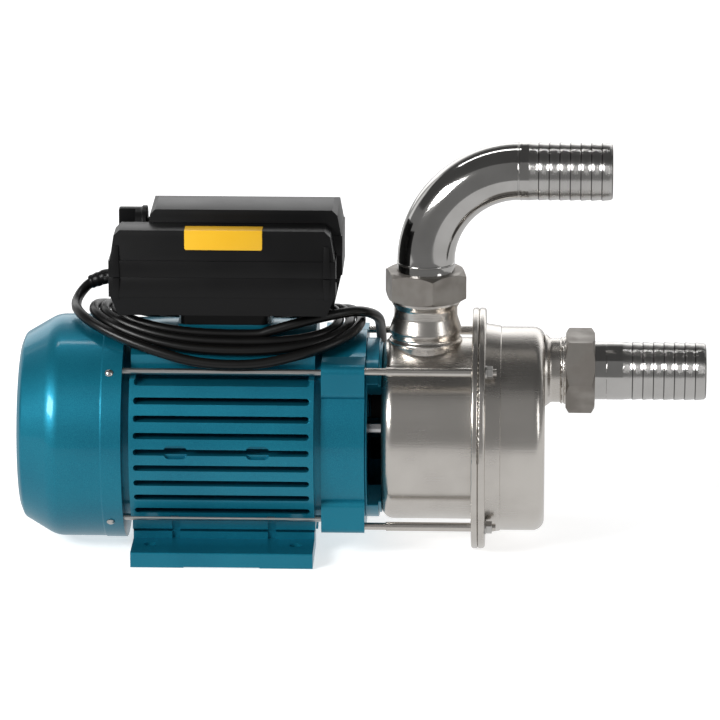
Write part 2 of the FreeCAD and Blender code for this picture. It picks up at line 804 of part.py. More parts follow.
def shaft():
    near = size("bearing_x")
    play = size("run_play")
    rear = size("rear_bearing_bore") / 2 - play
    front = size("front_bearing_bore") / 2 - play
    fan = size("shaft_fan_radius")
    seat = size("shaft_seat_radius")
    pump = size("shaft_pump_radius")
    rear_end = near + size("rear_bearing_width")
    front_end = near + size("front_bearing_width")
    thread_end = impeller_end + 5.5
    body = turned("rotor_shaft", [
        (-size("shaft_fan_end"), 0), (-size("shaft_fan_end"), fan - 0.8),
        (-size("shaft_fan_end") + 0.8, fan), (-rear_end - 1, fan), (-rear_end - 1, rear),
        (-near, rear), (-near, rear + 2), (-near + 14, rear + 2), (-near + 14, seat),
        (near - 14, seat), (near - 14, front + 2), (near, front + 2), (near, front),
        (front_end + 1, front), (front_end + 6, pump), (impeller_end - 3, pump),
        (impeller_end - 3, size("shaft_thread_radius")), (thread_end, size("shaft_thread_radius")),
        (thread_end, 0)])
    half = size("key_width") / 2
    cut_from(body, "XY", "shaft_keyway", lambda s: rectangle(
        s, impeller_x + 1, impeller_x + 1 + size("key_length"), -half, half),
        pump - half, 6, True)
    clip = outline(new_sketch(body, "XZ", "shaft_clip_section"), ring(
        -size("shaft_fan_end") + 3, -size("shaft_fan_end") + 4.1, fan - 0.6, fan + 1))
    spin(body, "Groove", clip, name="shaft_clip_groove")
    turned("fan_clip", ring(
        -size("shaft_fan_end") + 3.05, -size("shaft_fan_end") + 4.05, fan - 0.55, fan + 2.6))
    key = new_body("impeller_key")
    block = new_sketch(key, "XY", "impeller_key_sketch", pump - half + play)
    rectangle(block, impeller_x + 1 + play, impeller_x + 1 + size("key_length") - play,
              -half + play, half - play, half * 0.6)
    feature(key, "Pad", block, "impeller_key_block", Length=half * 2 - play)
    place(key, z=axis_z)


def stator_and_rotor():
    half = size("core_length") / 2
    outer = size("stator_radius") - size("bore_play")
    bore = size("rotor_radius") + size("air_gap")
    core = turned("stator_core", ring(-half, half, bore, outer))
    slot = new_sketch(core, "YZ", "stator_slot_sketch")
    rectangle(slot, -size("slot_width") / 2, size("slot_width") / 2,
              bore - 1, bore + size("slot_depth"))
    cut = feature(core, "Pocket", slot, "stator_slot")
    cut.Type = 1
    cut.Midplane = True
    polar(core, [cut], size("stator_slots"), name="stator_slots")
    low = bore + 2
    high = outer - 3
    for label, side in (("rear_winding", -1), ("front_winding", 1)):
        near = (half + 0.1) * side
        far = (half + size("winding_length")) * side
        turned(label, [(near, low, 1), (near, high, 1), (far, high - 3, 5), (far, low + 2, 5)])
    turned("rotor_core", [
        (-half - 4, size("rotor_radius") - 9), (-half, size("shaft_seat_radius")),
        (half, size("shaft_seat_radius")), (half + 4, size("rotor_radius") - 9),
        (half + 4, size("rotor_radius") - 1), (half, size("rotor_radius")),
        (-half, size("rotor_radius")), (-half - 4, size("rotor_radius") - 1)])


# Fan and cowl

def cooling_fan():
    front = -size("fan_x") + size("fan_depth")
    fan = size("shaft_fan_radius") + size("run_play")
    body = turned("cooling_fan", [
        (-size("shaft_fan_end") + 4.2, fan), (front, fan), (front, fan + 12),
        (front - 3, fan + 14), (front - 3, size("fan_radius")), (front - 5, size("fan_radius")),
        (front - 5, fan + 12), (-size("fan_x"), fan + 6), (-size("shaft_fan_end") + 4.2, fan + 6)])
    blade = new_sketch(body, "YZ", "fan_blade_sketch", -size("fan_x"))
    rectangle(blade, -1, 1, fan + 5, size("fan_radius") - 0.5)
    pad = feature(body, "Pad", blade, "fan_blade", Length=size("fan_depth") - 4)
    polar(body, [pad], size("fan_blades"), name="fan_blades")


def fan_cowl():
    radius = size("cowl_radius")
    wall = size("cowl_wall")
    band = cowl_rim_x - size("rim_band")
    cone = cowl_end_x + size("cowl_cone")
    end_r = size("cowl_end_radius")
    body = turned("fan_cowl", [
        (cowl_rim_x, radius - wall + size("rim_step")), (cowl_rim_x, radius + size("rim_step")),
        (band, radius + size("rim_step")), (band - 1, radius), (cone, radius, 20),
        (cowl_end_x + 2.4, end_r, 5), (cowl_end_x, end_r - 6), (cowl_end_x, 0),
        (cowl_end_x + wall, 0), (cowl_end_x + wall, end_r - 7),
        (cowl_end_x + 2.4 + wall, end_r - wall, 4), (cone, radius - wall, 18),
        (band - 1, radius - wall), (band, radius - wall + size("rim_step"))])
    pitch = size("grille_slot") + size("grille_bar")
    step = 360.0 / SIZES["grille_spokes"]
    slots = new_sketch(body, "YZ", "grille_sketch")
    for index in range(SIZES["grille_rings"]):
        low = pitch * (index + 1) - size("grille_slot") / 2 + 2
        high = low + size("grille_slot")
        arc_slot(slots, low, high, size("grille_bar") / 2, step)
    cut = feature(body, "Pocket", slots, "grille_slots", Length=number(-cowl_end_x) + 5)
    polar(body, [cut], size("grille_spokes"), name="grille")
    for index, (side, end) in enumerate(CORNERS):
        screw_hole(body, "cowl_hole_%d" % index, side, end, size("cowl_screw_shank") + 0.1)


def screw_hole(body, name, side, end, radius):
    """A radial hole for one cowl screw, in the cowl's rim or in the shield inside it."""
    hole = new_sketch(body, "XY", name + "_sketch")
    hole.AttachmentOffset = FreeCAD.Placement(
        V(0, 0, 0), FreeCAD.Rotation(V(1, 0, 0), -(90 - SIZES["cowl_screw_angle"]) * side * end))
    circle(hole, -size("screw_x"), 0, radius)
    item = feature(body, "Pocket", hole, name, Length=size("cowl_radius") + 5)
    item.Reversed = end > 0


def arc_slot(sketch, low, high, gap, step):
    """One curved slot between two radii, centred on the sketch's Y axis."""
    r_low, r_high = number(low), number(high)
    half_low = math.radians(step / 2) - number(gap) / r_low
    half_high = math.radians(step / 2) - number(gap) / r_high

    def at(radius, angle):
        return V(radius * math.sin(angle), radius * math.cos(angle), 0)
    inner = Part.Arc(at(r_low, -half_low), at(r_low, 0), at(r_low, half_low))
    outer = Part.Arc(at(r_high, -half_high), at(r_high, 0), at(r_high, half_high))
    left = Part.LineSegment(at(r_low, -half_low), at(r_high, -half_high))
    right = Part.LineSegment(at(r_low, half_low), at(r_high, half_high))
    for shape in (inner, outer, left, right):
        sketch.addGeometry(shape, False)


def cowl_screws():
    shapes = []
    outer = SIZES["cowl_radius"] + SIZES["rim_step"]
    head = SIZES["cowl_screw_head"]
    for side, end in CORNERS:
        angle = math.radians(SIZES["cowl_screw_angle"])
        way = V(0, math.cos(angle) * side, math.sin(angle) * end)
        start = V(-SIZES["screw_x"], 0, 0)
        shank = Part.makeCylinder(SIZES["cowl_screw_shank"], 7.5, start + way * (outer - 7), way)
        ball = Part.makeSphere(head * 1.25, start + way * (outer - head * 0.55))
        disc = Part.makeCylinder(head, head, start + way * (outer + 0.02), way)
        shapes.append(shank.fuse(disc.common(ball)).removeSplitter())
    group("cowl_screws", shapes)


# Pump head: pressed casing and cover, clamped by four rods, round the impeller and diffuser

def casing_body():
    outer = size("casing_radius")
    inner = outer - size("casing_wall")
    hub = size("seal_bore")
    groove = size("ring_section") + 0.2
    seat = size("ring_radius")
    depth = size("ring_section") * 2 + 0.1
    body = turned("casing_body", [
        (casing_x, hub), (casing_x, outer, size("casing_round")), (flange_x, outer),
        (flange_x, size("flange_radius"), 1.5), (cover_x, size("flange_radius"), 1.5),
        (cover_x, seat + groove), (cover_x - depth, seat + groove),
        (cover_x - depth, seat - groove), (cover_x, seat - groove), (cover_x, inner),
        (casing_x + size("casing_wall"), inner, size("casing_round") - size("casing_wall")),
        (casing_x + size("casing_wall"), hub + 2), (seat_end + 1, hub + 2), (seat_end + 1, hub)])
    offset = size("pump_rod_offset")
    cut_from(body, "YZ", "casing_rod_holes", rod_holes(
        size("pump_rod_radius") + size("run_play"), offset, offset),
        cover_x + 1, size("flange_thickness") + 2)
    cut_from(body, "XY", "casing_outlet", lambda s: circle(
        s, size("outlet_x"), 0, size("pipe_bore")), 0, outer + 2, True)


def front_cover():
    wall = size("casing_wall")
    base = size("cover_root_radius")
    outer = size("cover_radius")
    body = turned("front_cover", [
        (cover_x, base - wall - 1), (cover_x, size("flange_radius"), 1.2),
        (cover_face, size("flange_radius"), 2.2), (cover_face, base + 0.6),
        (cover_face + 10, outer + 0.6), (cover_face + 10.5, outer),
        (cover_end, outer, size("cover_round")), (cover_end, 0), (cover_end - wall, 0),
        (cover_end - wall, outer - wall, size("cover_round") - wall),
        (cover_face + 10, outer - wall), (cover_face, base - wall - 1)])
    offset = size("pump_rod_offset")
    cut_from(body, "YZ", "cover_rod_holes", rod_holes(
        size("pump_rod_radius") + size("run_play"), offset, offset),
        cover_face + 1, size("cover_flange") + 2)
    cut_from(body, "YZ", "cover_inlet", lambda s: circle(s, 0, size("inlet_rise"), size("pipe_bore")),
             cover_end + 1, wall + 8)


def pump_clamp():
    """Rods, spacer sleeves, washers and nuts of the pump head, each group as one node."""
    offset = SIZES["pump_rod_offset"]
    rod_r = SIZES["pump_rod_radius"]
    play = SIZES["run_play"]
    face = number(cover_face)
    nut_x = face + SIZES["washer_thickness"]
    start = number(bracket_x) - SIZES["rod_anchor"] + 1
    end_x = nut_x + SIZES["nut_height"] + 2.5
    rods, sleeves, washers, nuts = [], [], [], []
    for index, (side, up) in enumerate(CORNERS):
        y, z = offset * side, offset * up
        rods.append(cylinder_x(start, end_x, y, z, rod_r))
        low, high = number(casing_x) + SIZES["sleeve_gap"], number(flange_x)
        sleeves.append(cylinder_x(low, high, y, z, SIZES["sleeve_radius"]).cut(
            cylinder_x(low - 1, high + 1, y, z, rod_r + play)))
        washers.append(cylinder_x(face, nut_x, y, z, SIZES["washer_radius"]).cut(
            cylinder_x(face - 1, nut_x + 1, y, z, rod_r + play)))
        prism = hexagon_x(nut_x, nut_x + SIZES["nut_height"], y, z, SIZES["nut_flats"], 17 * index)
        nuts.append(prism.cut(cylinder_x(nut_x - 1, nut_x + 9, y, z, rod_r + play)))
    group("pump_tie_rods", rods)
    group("rod_sleeves", sleeves)
    group("rod_washers", washers)
    group("rod_nuts", nuts)


def cover_ring():
    body = new_body("cover_seal_ring")
    section = new_sketch(body, "XZ", "cover_ring_section")
    circle(section, cover_x - size("ring_section") - 0.05, size("ring_radius"),
           size("ring_section"))
    spin(body, "Revolution", section, name="cover_ring_turn")
    place(body, z=axis_z)


def shaft_seal():
    play = size("run_play")
    bore = size("shaft_pump_radius")
    turned("seal_seat", ring(casing_x + 0.5, seat_end, bore + 1, size("seal_bore") - play))
    turned("seal_head", [
        (seat_end + play, bore + play), (head_end - 0.05, bore + play),
        (head_end - 0.05, bore + 6), (head_end - 3, bore + 6), (head_end - 3, bore + 5),
        (seat_end + 2, bore + 5), (seat_end + 2, bore + 3.5), (seat_end + play, bore + 3.5)])


def impeller():
    play = size("run_play")
    pump = size("shaft_pump_radius")
    outer = size("impeller_radius")
    eye = size("impeller_eye")
    back = impeller_x + 3
    front = impeller_end - 3
    body = turned("impeller", [
        (impeller_x, pump + play), (impeller_end - 3.2, pump + play), (impeller_end - 3.2, pump + 4),
        (back, pump + 9), (back, outer), (impeller_x, outer)])
    shroud = outline(new_sketch(body, "XZ", "impeller_shroud_section"), [
        (front - 1.5, eye + 4), (front - 4, outer), (front - 1.5, outer), (front + 1, eye + 5),
        (impeller_end + 2, eye), (impeller_end + 2, eye - 2), (front, eye - 2)])
    vane = new_sketch(body, "YZ", "impeller_vane_sketch", back - 1)
    outline(vane, [(-2, pump + 8), (1, pump + 8), (13, outer - 1.5), (10.4, outer - 0.8)])
    pad = feature(body, "Pad", vane, "impeller_vane", Length=front - back + 0.4)
    polar(body, [pad], size("impeller_vanes"), name="impeller_vanes")
    spin(body, "Revolution", shroud, name="impeller_shroud")
    half = size("key_width") / 2
    cut_from(body, "XY", "impeller_keyway", lambda s: rectangle(
        s, impeller_x - 1, impeller_x + 2 + size("key_length"), -half, half),
        0, pump + half + play, True)
    nut = new_body("impeller_nut")
    hexagon = new_sketch(nut, "YZ", "impeller_nut_sketch", impeller_end - 3)
    reach = size("shaft_thread_radius") * 2
    outline(hexagon, [(reach * trig("cos", 60 * i), reach * trig("sin", 60 * i)) for i in range(6)])
    circle(hexagon, 0, 0, size("shaft_thread_radius") + play)
    feature(nut, "Pad", hexagon, "impeller_nut_block", Length=6)
    place(nut, z=axis_z)


def diffuser():
    inner = size("casing_radius") - size("casing_wall") - 0.1
    near = impeller_end + 3.5
    far = near + size("diffuser_front")
    low = size("impeller_radius") + 2
    body = turned("diffuser", [
        (impeller_x - 1, low + 8.5), (impeller_x - 1, inner), (far, inner), (far, size("impeller_eye") + 6),
        (far + 4, size("impeller_eye") + 2), (far + 4, size("impeller_eye")),
        (near - 1, size("impeller_eye") + 0.5), (near - 1, size("impeller_eye") + 4),
        (near, size("impeller_eye") + 8), (near, low + 8.5)])
    vane = new_sketch(body, "YZ", "diffuser_vane_sketch", impeller_x + 2)
    outline(vane, [(-1, low), (1, low), (5, inner - 1.5), (2, inner - 1.5)])
    pad = feature(body, "Pad", vane, "diffuser_vane", Length=size("impeller_width") + 3)
    polar(body, [pad], size("diffuser_vanes"), name="diffuser_vanes")
    cut_from(body, "XY", "diffuser_port", lambda s: circle(s, size("outlet_x"), 0, 13),
             0, inner + 4, True)


# Unions and pipes

UPRIGHT = FreeCAD.Rotation(V(0, 1, 0), -90)


def union_nut(label, start, turn, upright):
    """A hexagonal union nut along local X: male thread on one side, pipe lip on the other."""
    end = start + size("union_height")
    reach = size("union_flats") / 2 / trig("cos", 30)
    body = new_body(label)
    hexagon = new_sketch(body, "YZ", label + "_sketch", start)
    outline(hexagon, [(reach * trig("cos", 60 * i + turn), reach * trig("sin", 60 * i + turn))
                      for i in range(6)])
    feature(body, "Pad", hexagon, label + "_block", Length=size("union_height"))
    flat = size("union_flats") / 2
    drop = (reach - flat + 2) * trig("sin", 30) / trig("cos", 30)
    for name, x, way in (("front", start, 1), ("back", end, -1)):
        chamfer = outline(new_sketch(body, "XZ", "%s_%s_chamfer" % (label, name)), [
            (x, flat), (x + drop * way, reach + 2), (x, reach + 2)])
        spin(body, "Groove", chamfer, name="%s_%s_bevel" % (label, name))
    play = size("run_play")
    bore = outline(new_sketch(body, "XZ", label + "_bore_section"), [
        (start - 1, 0), (start - 1, size("thread_radius") + play),
        (end - size("union_lip"), size("thread_radius") + play),
        (end - size("union_lip"), size("pipe_radius") + play), (end + 1, size("pipe_radius") + play),
        (end + 1, 0)])
    spin(body, "Groove", bore, name=label + "_bore")
    if upright:
        body.Placement = FreeCAD.Placement(V(0, 0, 0), UPRIGHT)
        place(body, size("outlet_x"), 0, axis_z)
    else:
        place(body, 0, 0, axis_z + size("inlet_rise"))


def collar_stations(start):
    """Where the neck ends and where gasket, collar and lip lie inside a union nut."""
    neck_end = start + size("union_engage")
    gasket_end = neck_end + size("gasket_thickness")
    lip = start + size("union_height") - size("union_lip")
    return neck_end, gasket_end, lip


def gasket(label, start, upright):
    neck_end, gasket_end, _ = collar_stations(start)
    body = turned(label, ring(neck_end, gasket_end, size("pipe_bore"),
                              size("thread_radius") - 0.4), axis_z + size("inlet_rise"))
    if upright:
        body.Placement = FreeCAD.Placement(V(0, 0, 0), UPRIGHT)
        place(body, size("outlet_x"), 0, axis_z)


def barbs(start):
    """The sawtooth crests of a hose tail, each largest on its nut side."""
    low = size("pipe_radius") - size("barb_step")
    points = []
    for index in range(SIZES["barb_count"]):
        x = start + size("barb_pitch") * index
        points.append((x, size("pipe_radius")))
        points.append((x + size("barb_pitch") - 0.7, low))
    end = start + size("barb_pitch") * SIZES["barb_count"]
    points[-1] = (end - 1.2, low)
    points.append((end, low - 1.2))
    return points, end


def inlet_pipe():
    neck_end, gasket_end, lip = collar_stations(inlet_nut_x)
    bore = size("pipe_bore")
    axis = axis_z + size("inlet_rise")
    neck = size("neck_radius")
    turned("inlet_neck", [
        (cover_end, bore), (cover_end, neck + 3), (cover_end + 1.5, neck + 2.2),
        (cover_end + 4, neck, 3), (inlet_nut_x - 4, neck), (inlet_nut_x - 3, neck + 1.3),
        (inlet_nut_x - 2, neck + 0.3), (inlet_nut_x - 1, neck + 1.3), (inlet_nut_x, neck + 1.3),
        (inlet_nut_x, size("thread_radius")), (neck_end, size("thread_radius")), (neck_end, bore)],
        axis)
    start = inlet_nut_x + size("union_height") + size("inlet_plain")
    points, end = barbs(start)
    line = inlet_nut_x + size("union_height") + 7.6
    turned("inlet_hose_tail", [
        (gasket_end, bore), (gasket_end, size("thread_radius") - 0.4),
        (lip - 0.05, size("thread_radius") - 0.4), (lip - 0.05, size("pipe_radius") - 0.05),
        (line, size("pipe_radius") - 0.05), (line + 0.3, size("pipe_radius") - 0.45),
        (line + 0.6, size("pipe_radius"))] + points + [(end, bore)], axis)


def outlet_pipe():
    start = size("outlet_neck_height")
    neck_end, gasket_end, lip = collar_stations(start)
    bore = size("pipe_bore")
    neck = new_body("outlet_neck")
    section = outline(new_sketch(neck, "XZ", "outlet_neck_section"), [
        (size("casing_radius") - 14, bore), (size("casing_radius") - 14, bore + 7),
        (size("casing_radius") - 1, bore + 7), (size("casing_radius") + 1, size("bulge_radius") + 0.8, 1),
        (size("bulge_height") - 5, size("bulge_radius") - 1.6, 2),
        (size("bulge_height"), size("bulge_radius") + 0.3, 3),
        (size("waist_height") - 3, size("waist_radius"), 5),
        (size("waist_height") + 3, size("waist_radius"), 3),
        (start - 2, size("thread_radius") + 0.6, 1), (start, size("thread_radius") + 0.6),
        (start, size("thread_radius")), (neck_end, size("thread_radius")), (neck_end, bore)])
    spin(neck, "Revolution", section, name="outlet_neck_turn")
    trim = new_sketch(neck, "XY", "outlet_neck_trim", -60)
    circle(trim, 0, 0, size("casing_radius") + size("run_play"))
    cut = feature(neck, "Pocket", trim, "outlet_neck_saddle", Length=120)
    cut.Reversed = True
    neck.Placement = FreeCAD.Placement(V(0, 0, 0), UPRIGHT)
    place(neck, size("outlet_x"), 0, axis_z)

    elbow = new_body("outlet_elbow")
    bend_z = start + size("union_height") + size("ferrule_length")
    collar = size("thread_radius") - 0.4
    radius = size("pipe_radius")
    ferrule = outline(new_sketch(elbow, "XZ", "elbow_ferrule_section"), [
        (bore, gasket_end + 0.05), (collar, gasket_end + 0.05), (collar, lip - 0.1),
        (radius - 0.05, lip - 0.1), (radius - 0.05, bend_z), (bore, bend_z)])
    spin(elbow, "Revolution", ferrule, "V_Axis", name="elbow_ferrule")
    bend = new_sketch(elbow, "XY", "elbow_bend_section", bend_z)
    circle(bend, 0, 0, radius - 0.25)
    circle(bend, 0, 0, bore)
    hinge = bend.addGeometry(Part.LineSegment(V(SIZES["bend_radius"], -10, 0),
                                              V(SIZES["bend_radius"], 10, 0)), True)
    pin_point(bend, hinge, 1, size("bend_radius"), -10)
    pin_point(bend, hinge, 2, size("bend_radius"), 10)
    spin(elbow, "Revolution", bend, "Axis0", 90, "elbow_bend")
    axis_height = bend_z + size("bend_radius")
    points, end = barbs(size("bend_radius") + size("outlet_plain"))
    tail = [(size("bend_radius"), bore), (size("bend_radius"), radius - 0.25),
            (size("bend_radius") + 1, radius + 0.2), (size("bend_radius") + 2, radius - 0.15)]
    tail = tail + points + [(end, bore)]
    section = new_sketch(elbow, "XZ", "elbow_tail_section")
    line = section.addGeometry(Part.LineSegment(V(60, number(axis_height), 0),
                                                V(90, number(axis_height), 0)), True)
    pin_point(section, line, 1, 60, axis_height)
    pin_point(section, line, 2, 90, axis_height)
    outline(section, [(x, axis_height + r) for x, r in tail])
    spin(elbow, "Revolution", section, "Axis0", 360, "elbow_tail")
    place(elbow, size("outlet_x"), 0, axis_z)


# Electrical boxes on the platform

def box_half(label, y_low, y_high, corners, split, opening_up, rim):
    """One half of a moulded box: an end profile along Y, hollowed from its parting face."""
    body = new_body(label)
    wall = size("box_wall")
    profile = outline(new_sketch(body, "XZ", label + "_profile", -y_high), corners)
    feature(body, "Pad", profile, label + "_block", Length=y_high - y_low)
    left, right, z_low, z_high = rim
    band = new_sketch(body, "XY", label + "_rim_sketch", z_low)
    out = size("rim_out") * 0.4
    front = y_low - out if number(y_low) < -20 else y_low
    rectangle(band, left, right, front, y_high, 1.5)
    feature(body, "Pad", band, label + "_rim", Length=z_high - z_low)
    inset = size("box_draft") * 2 + wall + size("rim_out") * 0.3
    far = corners[2][1]
    depth = split - far - wall if opening_up else far - split - wall
    cut_from(body, "XY", label + "_hollow", lambda s: rectangle(
        s, left + inset, right - inset,
        y_low + wall, y_high - wall, 2), split, depth, not opening_up)
    place(body, z=axis_z)
    return body


def box_base(label, left, right, y_low, y_high, floor, rim_low, split):
    taper = size("box_draft") * 2
    corners = [(left, split), (left, rim_low), (left + taper, floor), (right - taper, floor),
               (right, rim_low), (right, split)]
    out = size("rim_out") * 0.3
    return box_half(label, y_low, y_high, corners, split, True,
                    (left - out, right + out, rim_low, split))


def box_lid(label, left, right, y_low, y_high, split, rim_top, top):
    draft = size("box_draft")
    chamfer = size("box_chamfer")
    corners = [(left, split), (left + draft, top - chamfer), (left + draft + chamfer, top),
               (right - draft - chamfer, top), (right - draft, top - chamfer), (right, split)]
    out = size("rim_out") * 0.3
    return box_half(label, y_low, y_high, corners, split, False,
                    (left - out, right + out, split, rim_top))


def electrical_boxes():
    play = size("lid_play")
    floor = size("box_floor")
    mid = size("box_mid_y")
    front = (size("front_box_left"), size("front_box_right"), size("front_box_y"), mid - play)
    rear = (size("rear_box_left"), size("rear_box_right"), mid, size("rear_box_y"))
    box_base("front_box_base", *front, floor, size("front_rim_low"), size("front_split"))
    box_lid("front_box_lid", *front, size("front_split") + play, size("front_rim_top"),
            size("front_box_top"))
    base = box_base("rear_box_base", *rear, floor, size("rear_rim_low"), size("rear_split"))
    lid = box_lid("rear_box_lid", *rear, size("rear_split") + play, size("rear_rim_top"),
                  size("rear_box_top"))
    cut_from(base, "XY", "rear_box_wire_hole", lambda s: circle(s, 0, 6, 7),
             floor + 5, 8)
    cut_from(base, "YZ", "rear_box_gland_hole", lambda s: circle(
        s, size("gland_y"), size("gland_z"), size("cord_radius") + 1.55),
        size("rear_box_left") - 5, 18, True)
    cut_from(lid, "YZ", "rear_box_switch_hole", lambda s: circle(
        s, size("knob_y"), size("knob_z"), 4.1), size("rear_box_left") - 5, 20, True)
    seat = new_body("box_pedestal")
    low = size("platform_top")
    block = new_sketch(seat, "XY", "box_pedestal_sketch", low)
    half_x = size("platform_length") / 2 - 2
    half_y = size("platform_width") / 2 - 1
    rectangle(block, -half_x, half_x, -half_y, half_y, 5)
    circle(block, 0, 0, size("wire_hole_radius"))
    feature(seat, "Pad", block, "box_pedestal_block", Length=floor - low)
    place(seat, z=axis_z)


def inner_electrics():
    """Capacitor, terminal block and cam switch inside the boxes."""
    wall = size("box_wall")
    floor = size("box_floor") + wall
    y = (size("front_box_y") + size("box_mid_y")) / 2
    turned("run_capacitor", [(-48, 0), (-48, 8.6, 1), (38, 8.6, 1), (38, 5), (43, 5), (43, 0)],
           axis_z + floor + 8.6, 0, y)
    block = new_body("terminal_block")
    base = new_sketch(block, "XY", "terminal_block_sketch", floor)
    rectangle(base, 16, 60, 16, 34, 1)
    feature(block, "Pad", base, "terminal_block_base", Length=9)
    studs = new_sketch(block, "XY", "terminal_stud_sketch", floor + 8)
    for row in range(2):
        for column in range(3):
            circle(studs, 23 + 15 * column, 20.5 + 9 * row, 2)
    feature(block, "Pad", studs, "terminal_studs", Length=8)
    place(block, z=axis_z)
    inside = size("rear_box_left") + size("box_draft") * 2 + wall + 0.1
    switch = new_body("switch_body")
    half = size("switch_size") / 2
    deck = new_sketch(switch, "YZ", "switch_body_sketch", inside)
    rectangle(deck, size("knob_y") - half, size("knob_y") + half,
              size("knob_z") - half, size("knob_z") + half - 1.5, 2)
    feature(switch, "Pad", deck, "switch_body_deck", Length=size("switch_length"))
    place(switch, z=axis_z)


def rotary_knob():
    right = size("rear_box_left") - size("rim_out") * 0.3 - 0.3
    stem_end = size("rear_box_left") + size("box_draft") * 2 + size("box_wall")
    left = right - size("knob_length")
    radius = size("knob_radius")
    body = turned("switch_knob", [
        (left, 0), (left, radius, 1.2), (right - 4, radius), (right - 3, radius + 1, 0.6),
        (right, radius + 1, 0.6), (right, 4), (stem_end, 4), (stem_end, 0)],
        axis_z + size("knob_z"), 0, size("knob_y"))
    for side in (-1, 1):
        cut_from(body, "YZ", "knob_grip_%d" % (side + 2), lambda s: rectangle(
            s, 3.5 * side if side > 0 else -20, 20 if side > 0 else 3.5 * side, -20, 20),
            left - 1, size("knob_length") - 7, True)


def cable_gland():
    right = size("rear_box_left") - size("rim_out") * 0.3
    y, z = size("gland_y"), size("gland_z")
    bore = size("cord_radius") + 0.05
    turned("cable_gland", [
        (right - 20, bore), (right - 20, bore + 2.2, 0.8), (right - 12, bore + 3.8, 1),
        (right - 12, bore + 4.4), (right, bore + 4.4), (right, bore + 1.3),
        (right + 9, bore + 1.3), (right + 9, bore)], axis_z + z, 0, y)
    nut = new_body("gland_nut")
    start = right - 6
    reach = size("gland_flats") / 2 / trig("cos", 30)
    face = new_sketch(nut, "YZ", "gland_nut_sketch", start)
    outline(face, [(reach * trig("cos", 60 * i), reach * trig("sin", 60 * i)) for i in range(6)])
    circle(face, 0, 0, bore + 4.45)
    feature(nut, "Pad", face, "gland_nut_block", Length=5.9)
    place(nut, 0, y, axis_z + z)


def rating_label():
    body = new_body("blank_label")
    top = size("front_box_top")
    front = size("front_box_y")
    thick = size("label_thickness")
    section = new_sketch(body, "YZ", "blank_label_section", size("label_left"))
    outline(section, [(front - thick, top - size("label_drop")), (front, top - size("label_drop")),
                      (front, top), (front + size("label_top"), top),
                      (front + size("label_top"), top + thick), (front - thick, top + thick)])
    feature(body, "Pad", section, "blank_label_sheet",
            Length=size("label_right") - size("label_left"))
    place(body, z=axis_z)


# Supply cord: lead from the gland, loose coil round the pedestal, tail to the plug

def corner_path(points):
    """Straight runs joined by tangent arcs, as large as the runs beside each corner allow."""
    edges, radii = [], []
    here = points[0]
    for before, corner, after in zip(points, points[1:], points[2:]):
        back, ahead = before - corner, after - corner
        half = (math.pi - back.getAngle(ahead)) / 2
        reach = 0.45 * min(back.Length, ahead.Length)
        radius = reach / math.tan(half)
        back.normalize()
        ahead.normalize()
        first = corner + back * reach
        last = corner + ahead * reach
        inward = (back + ahead).normalize()
        middle = corner + inward * (radius / math.cos(half) - radius)
        edges.append(Part.LineSegment(here, first).toShape())
        edges.append(Part.Arc(first, middle, last).toShape())
        radii.append(radius)
        here = last
    edges.append(Part.LineSegment(here, points[-1]).toShape())
    return Part.Wire(edges), radii


def cord_tube(label, points, radius):
    """A round cord along a route of hand-chosen points."""
    path, radii = corner_path(points)
    way = (points[1] - points[0]).normalize()
    rim = Part.Wire(Part.makeCircle(radius, points[0], way))
    tube = path.makePipeShell([rim], True, False)
    item = doc.addObject("Part::Feature", label)
    item.Label = label
    item.Shape = tube
    whole = math.pi * radius ** 2 * path.Length
    print(label, "length %.0f" % path.Length, "radii", ["%.0f" % r for r in radii],
          "volume ratio %.4f" % (tube.Volume / whole))


def supply_cord():
    radius = number(size("cord_radius"))
    exit_x = SIZES["rear_box_left"] - SIZES["rim_out"] * 0.3 - 20
    y, z = SIZES["gland_y"], number(axis_z) + SIZES["gland_z"]
    lead = [V(exit_x, y, z), V(exit_x - 11, y + 0.5, z - 1), V(exit_x - 19, y + 1.5, z - 7),
            V(exit_x - 22, y + 2.5, z - 16)]
    cord_tube("cord_lead", lead, radius)
    plug_z = SIZES["plug_radius"]
    tail = [V(72, -22, 162), V(92, -8, 165), V(104, 12, 155), V(106, 39, 141), V(106, 63, 116),
            V(106, 79, 85), V(104, 92, 54), V(97, 101, 25), V(80, 108, 6), V(58, 110, 5),
            V(38, 106, plug_z), V(22, 106, plug_z)]
    cord_tube("cord_tail", tail, radius)
    coil = new_body("cord_coil")
    oval = new_sketch(coil, "XY", "cord_coil_outline", 30)
    long_way = [(size("coil_left"), size("coil_right"), size("coil_half_width")),
                (size("coil_inner_left"), size("coil_inner_right"), size("coil_inner_width"))]
    for left, right, half in long_way:
        outline(oval, [(-left, -half, half * 0.98), (right, -half, half * 0.98),
                       (right, half, half * 0.98), (-left, half, half * 0.98)])
    feature(coil, "Pad", oval, "cord_coil_ring", Length=60)
    through_cut(coil, "YZ", "cord_coil_underside", lambda s: circle(s, 0, 0, size("coil_low")))

    def outside(s):
        circle(s, 0, 0, size("coil_high"))
        circle(s, 0, 0, size("coil_high") + 60)
    through_cut(coil, "YZ", "cord_coil_upper_side", outside)
    place(coil, z=axis_z)
    start = 22
    plug = turned("mains_plug", [
        (start, 0), (start, size("cord_radius") + 1), (start - 16, size("cord_radius") + 2.5),
        (start - 20, size("plug_radius") - 7, 4), (start - 30, size("plug_radius"), 4),
        (start - size("plug_length"), size("plug_radius"), 2), (start - size("plug_length"), 0)],
        size("plug_radius"), 0, 106)
    pins = new_sketch(plug, "YZ", "plug_pin_sketch", -size("plug_length") + start)
    for side in (-1, 1):
        circle(pins, 9.5 * side, 0, 2.4)
    item = feature(plug, "Pad", pins, "plug_pins", Length=19)
    item.Reversed = True


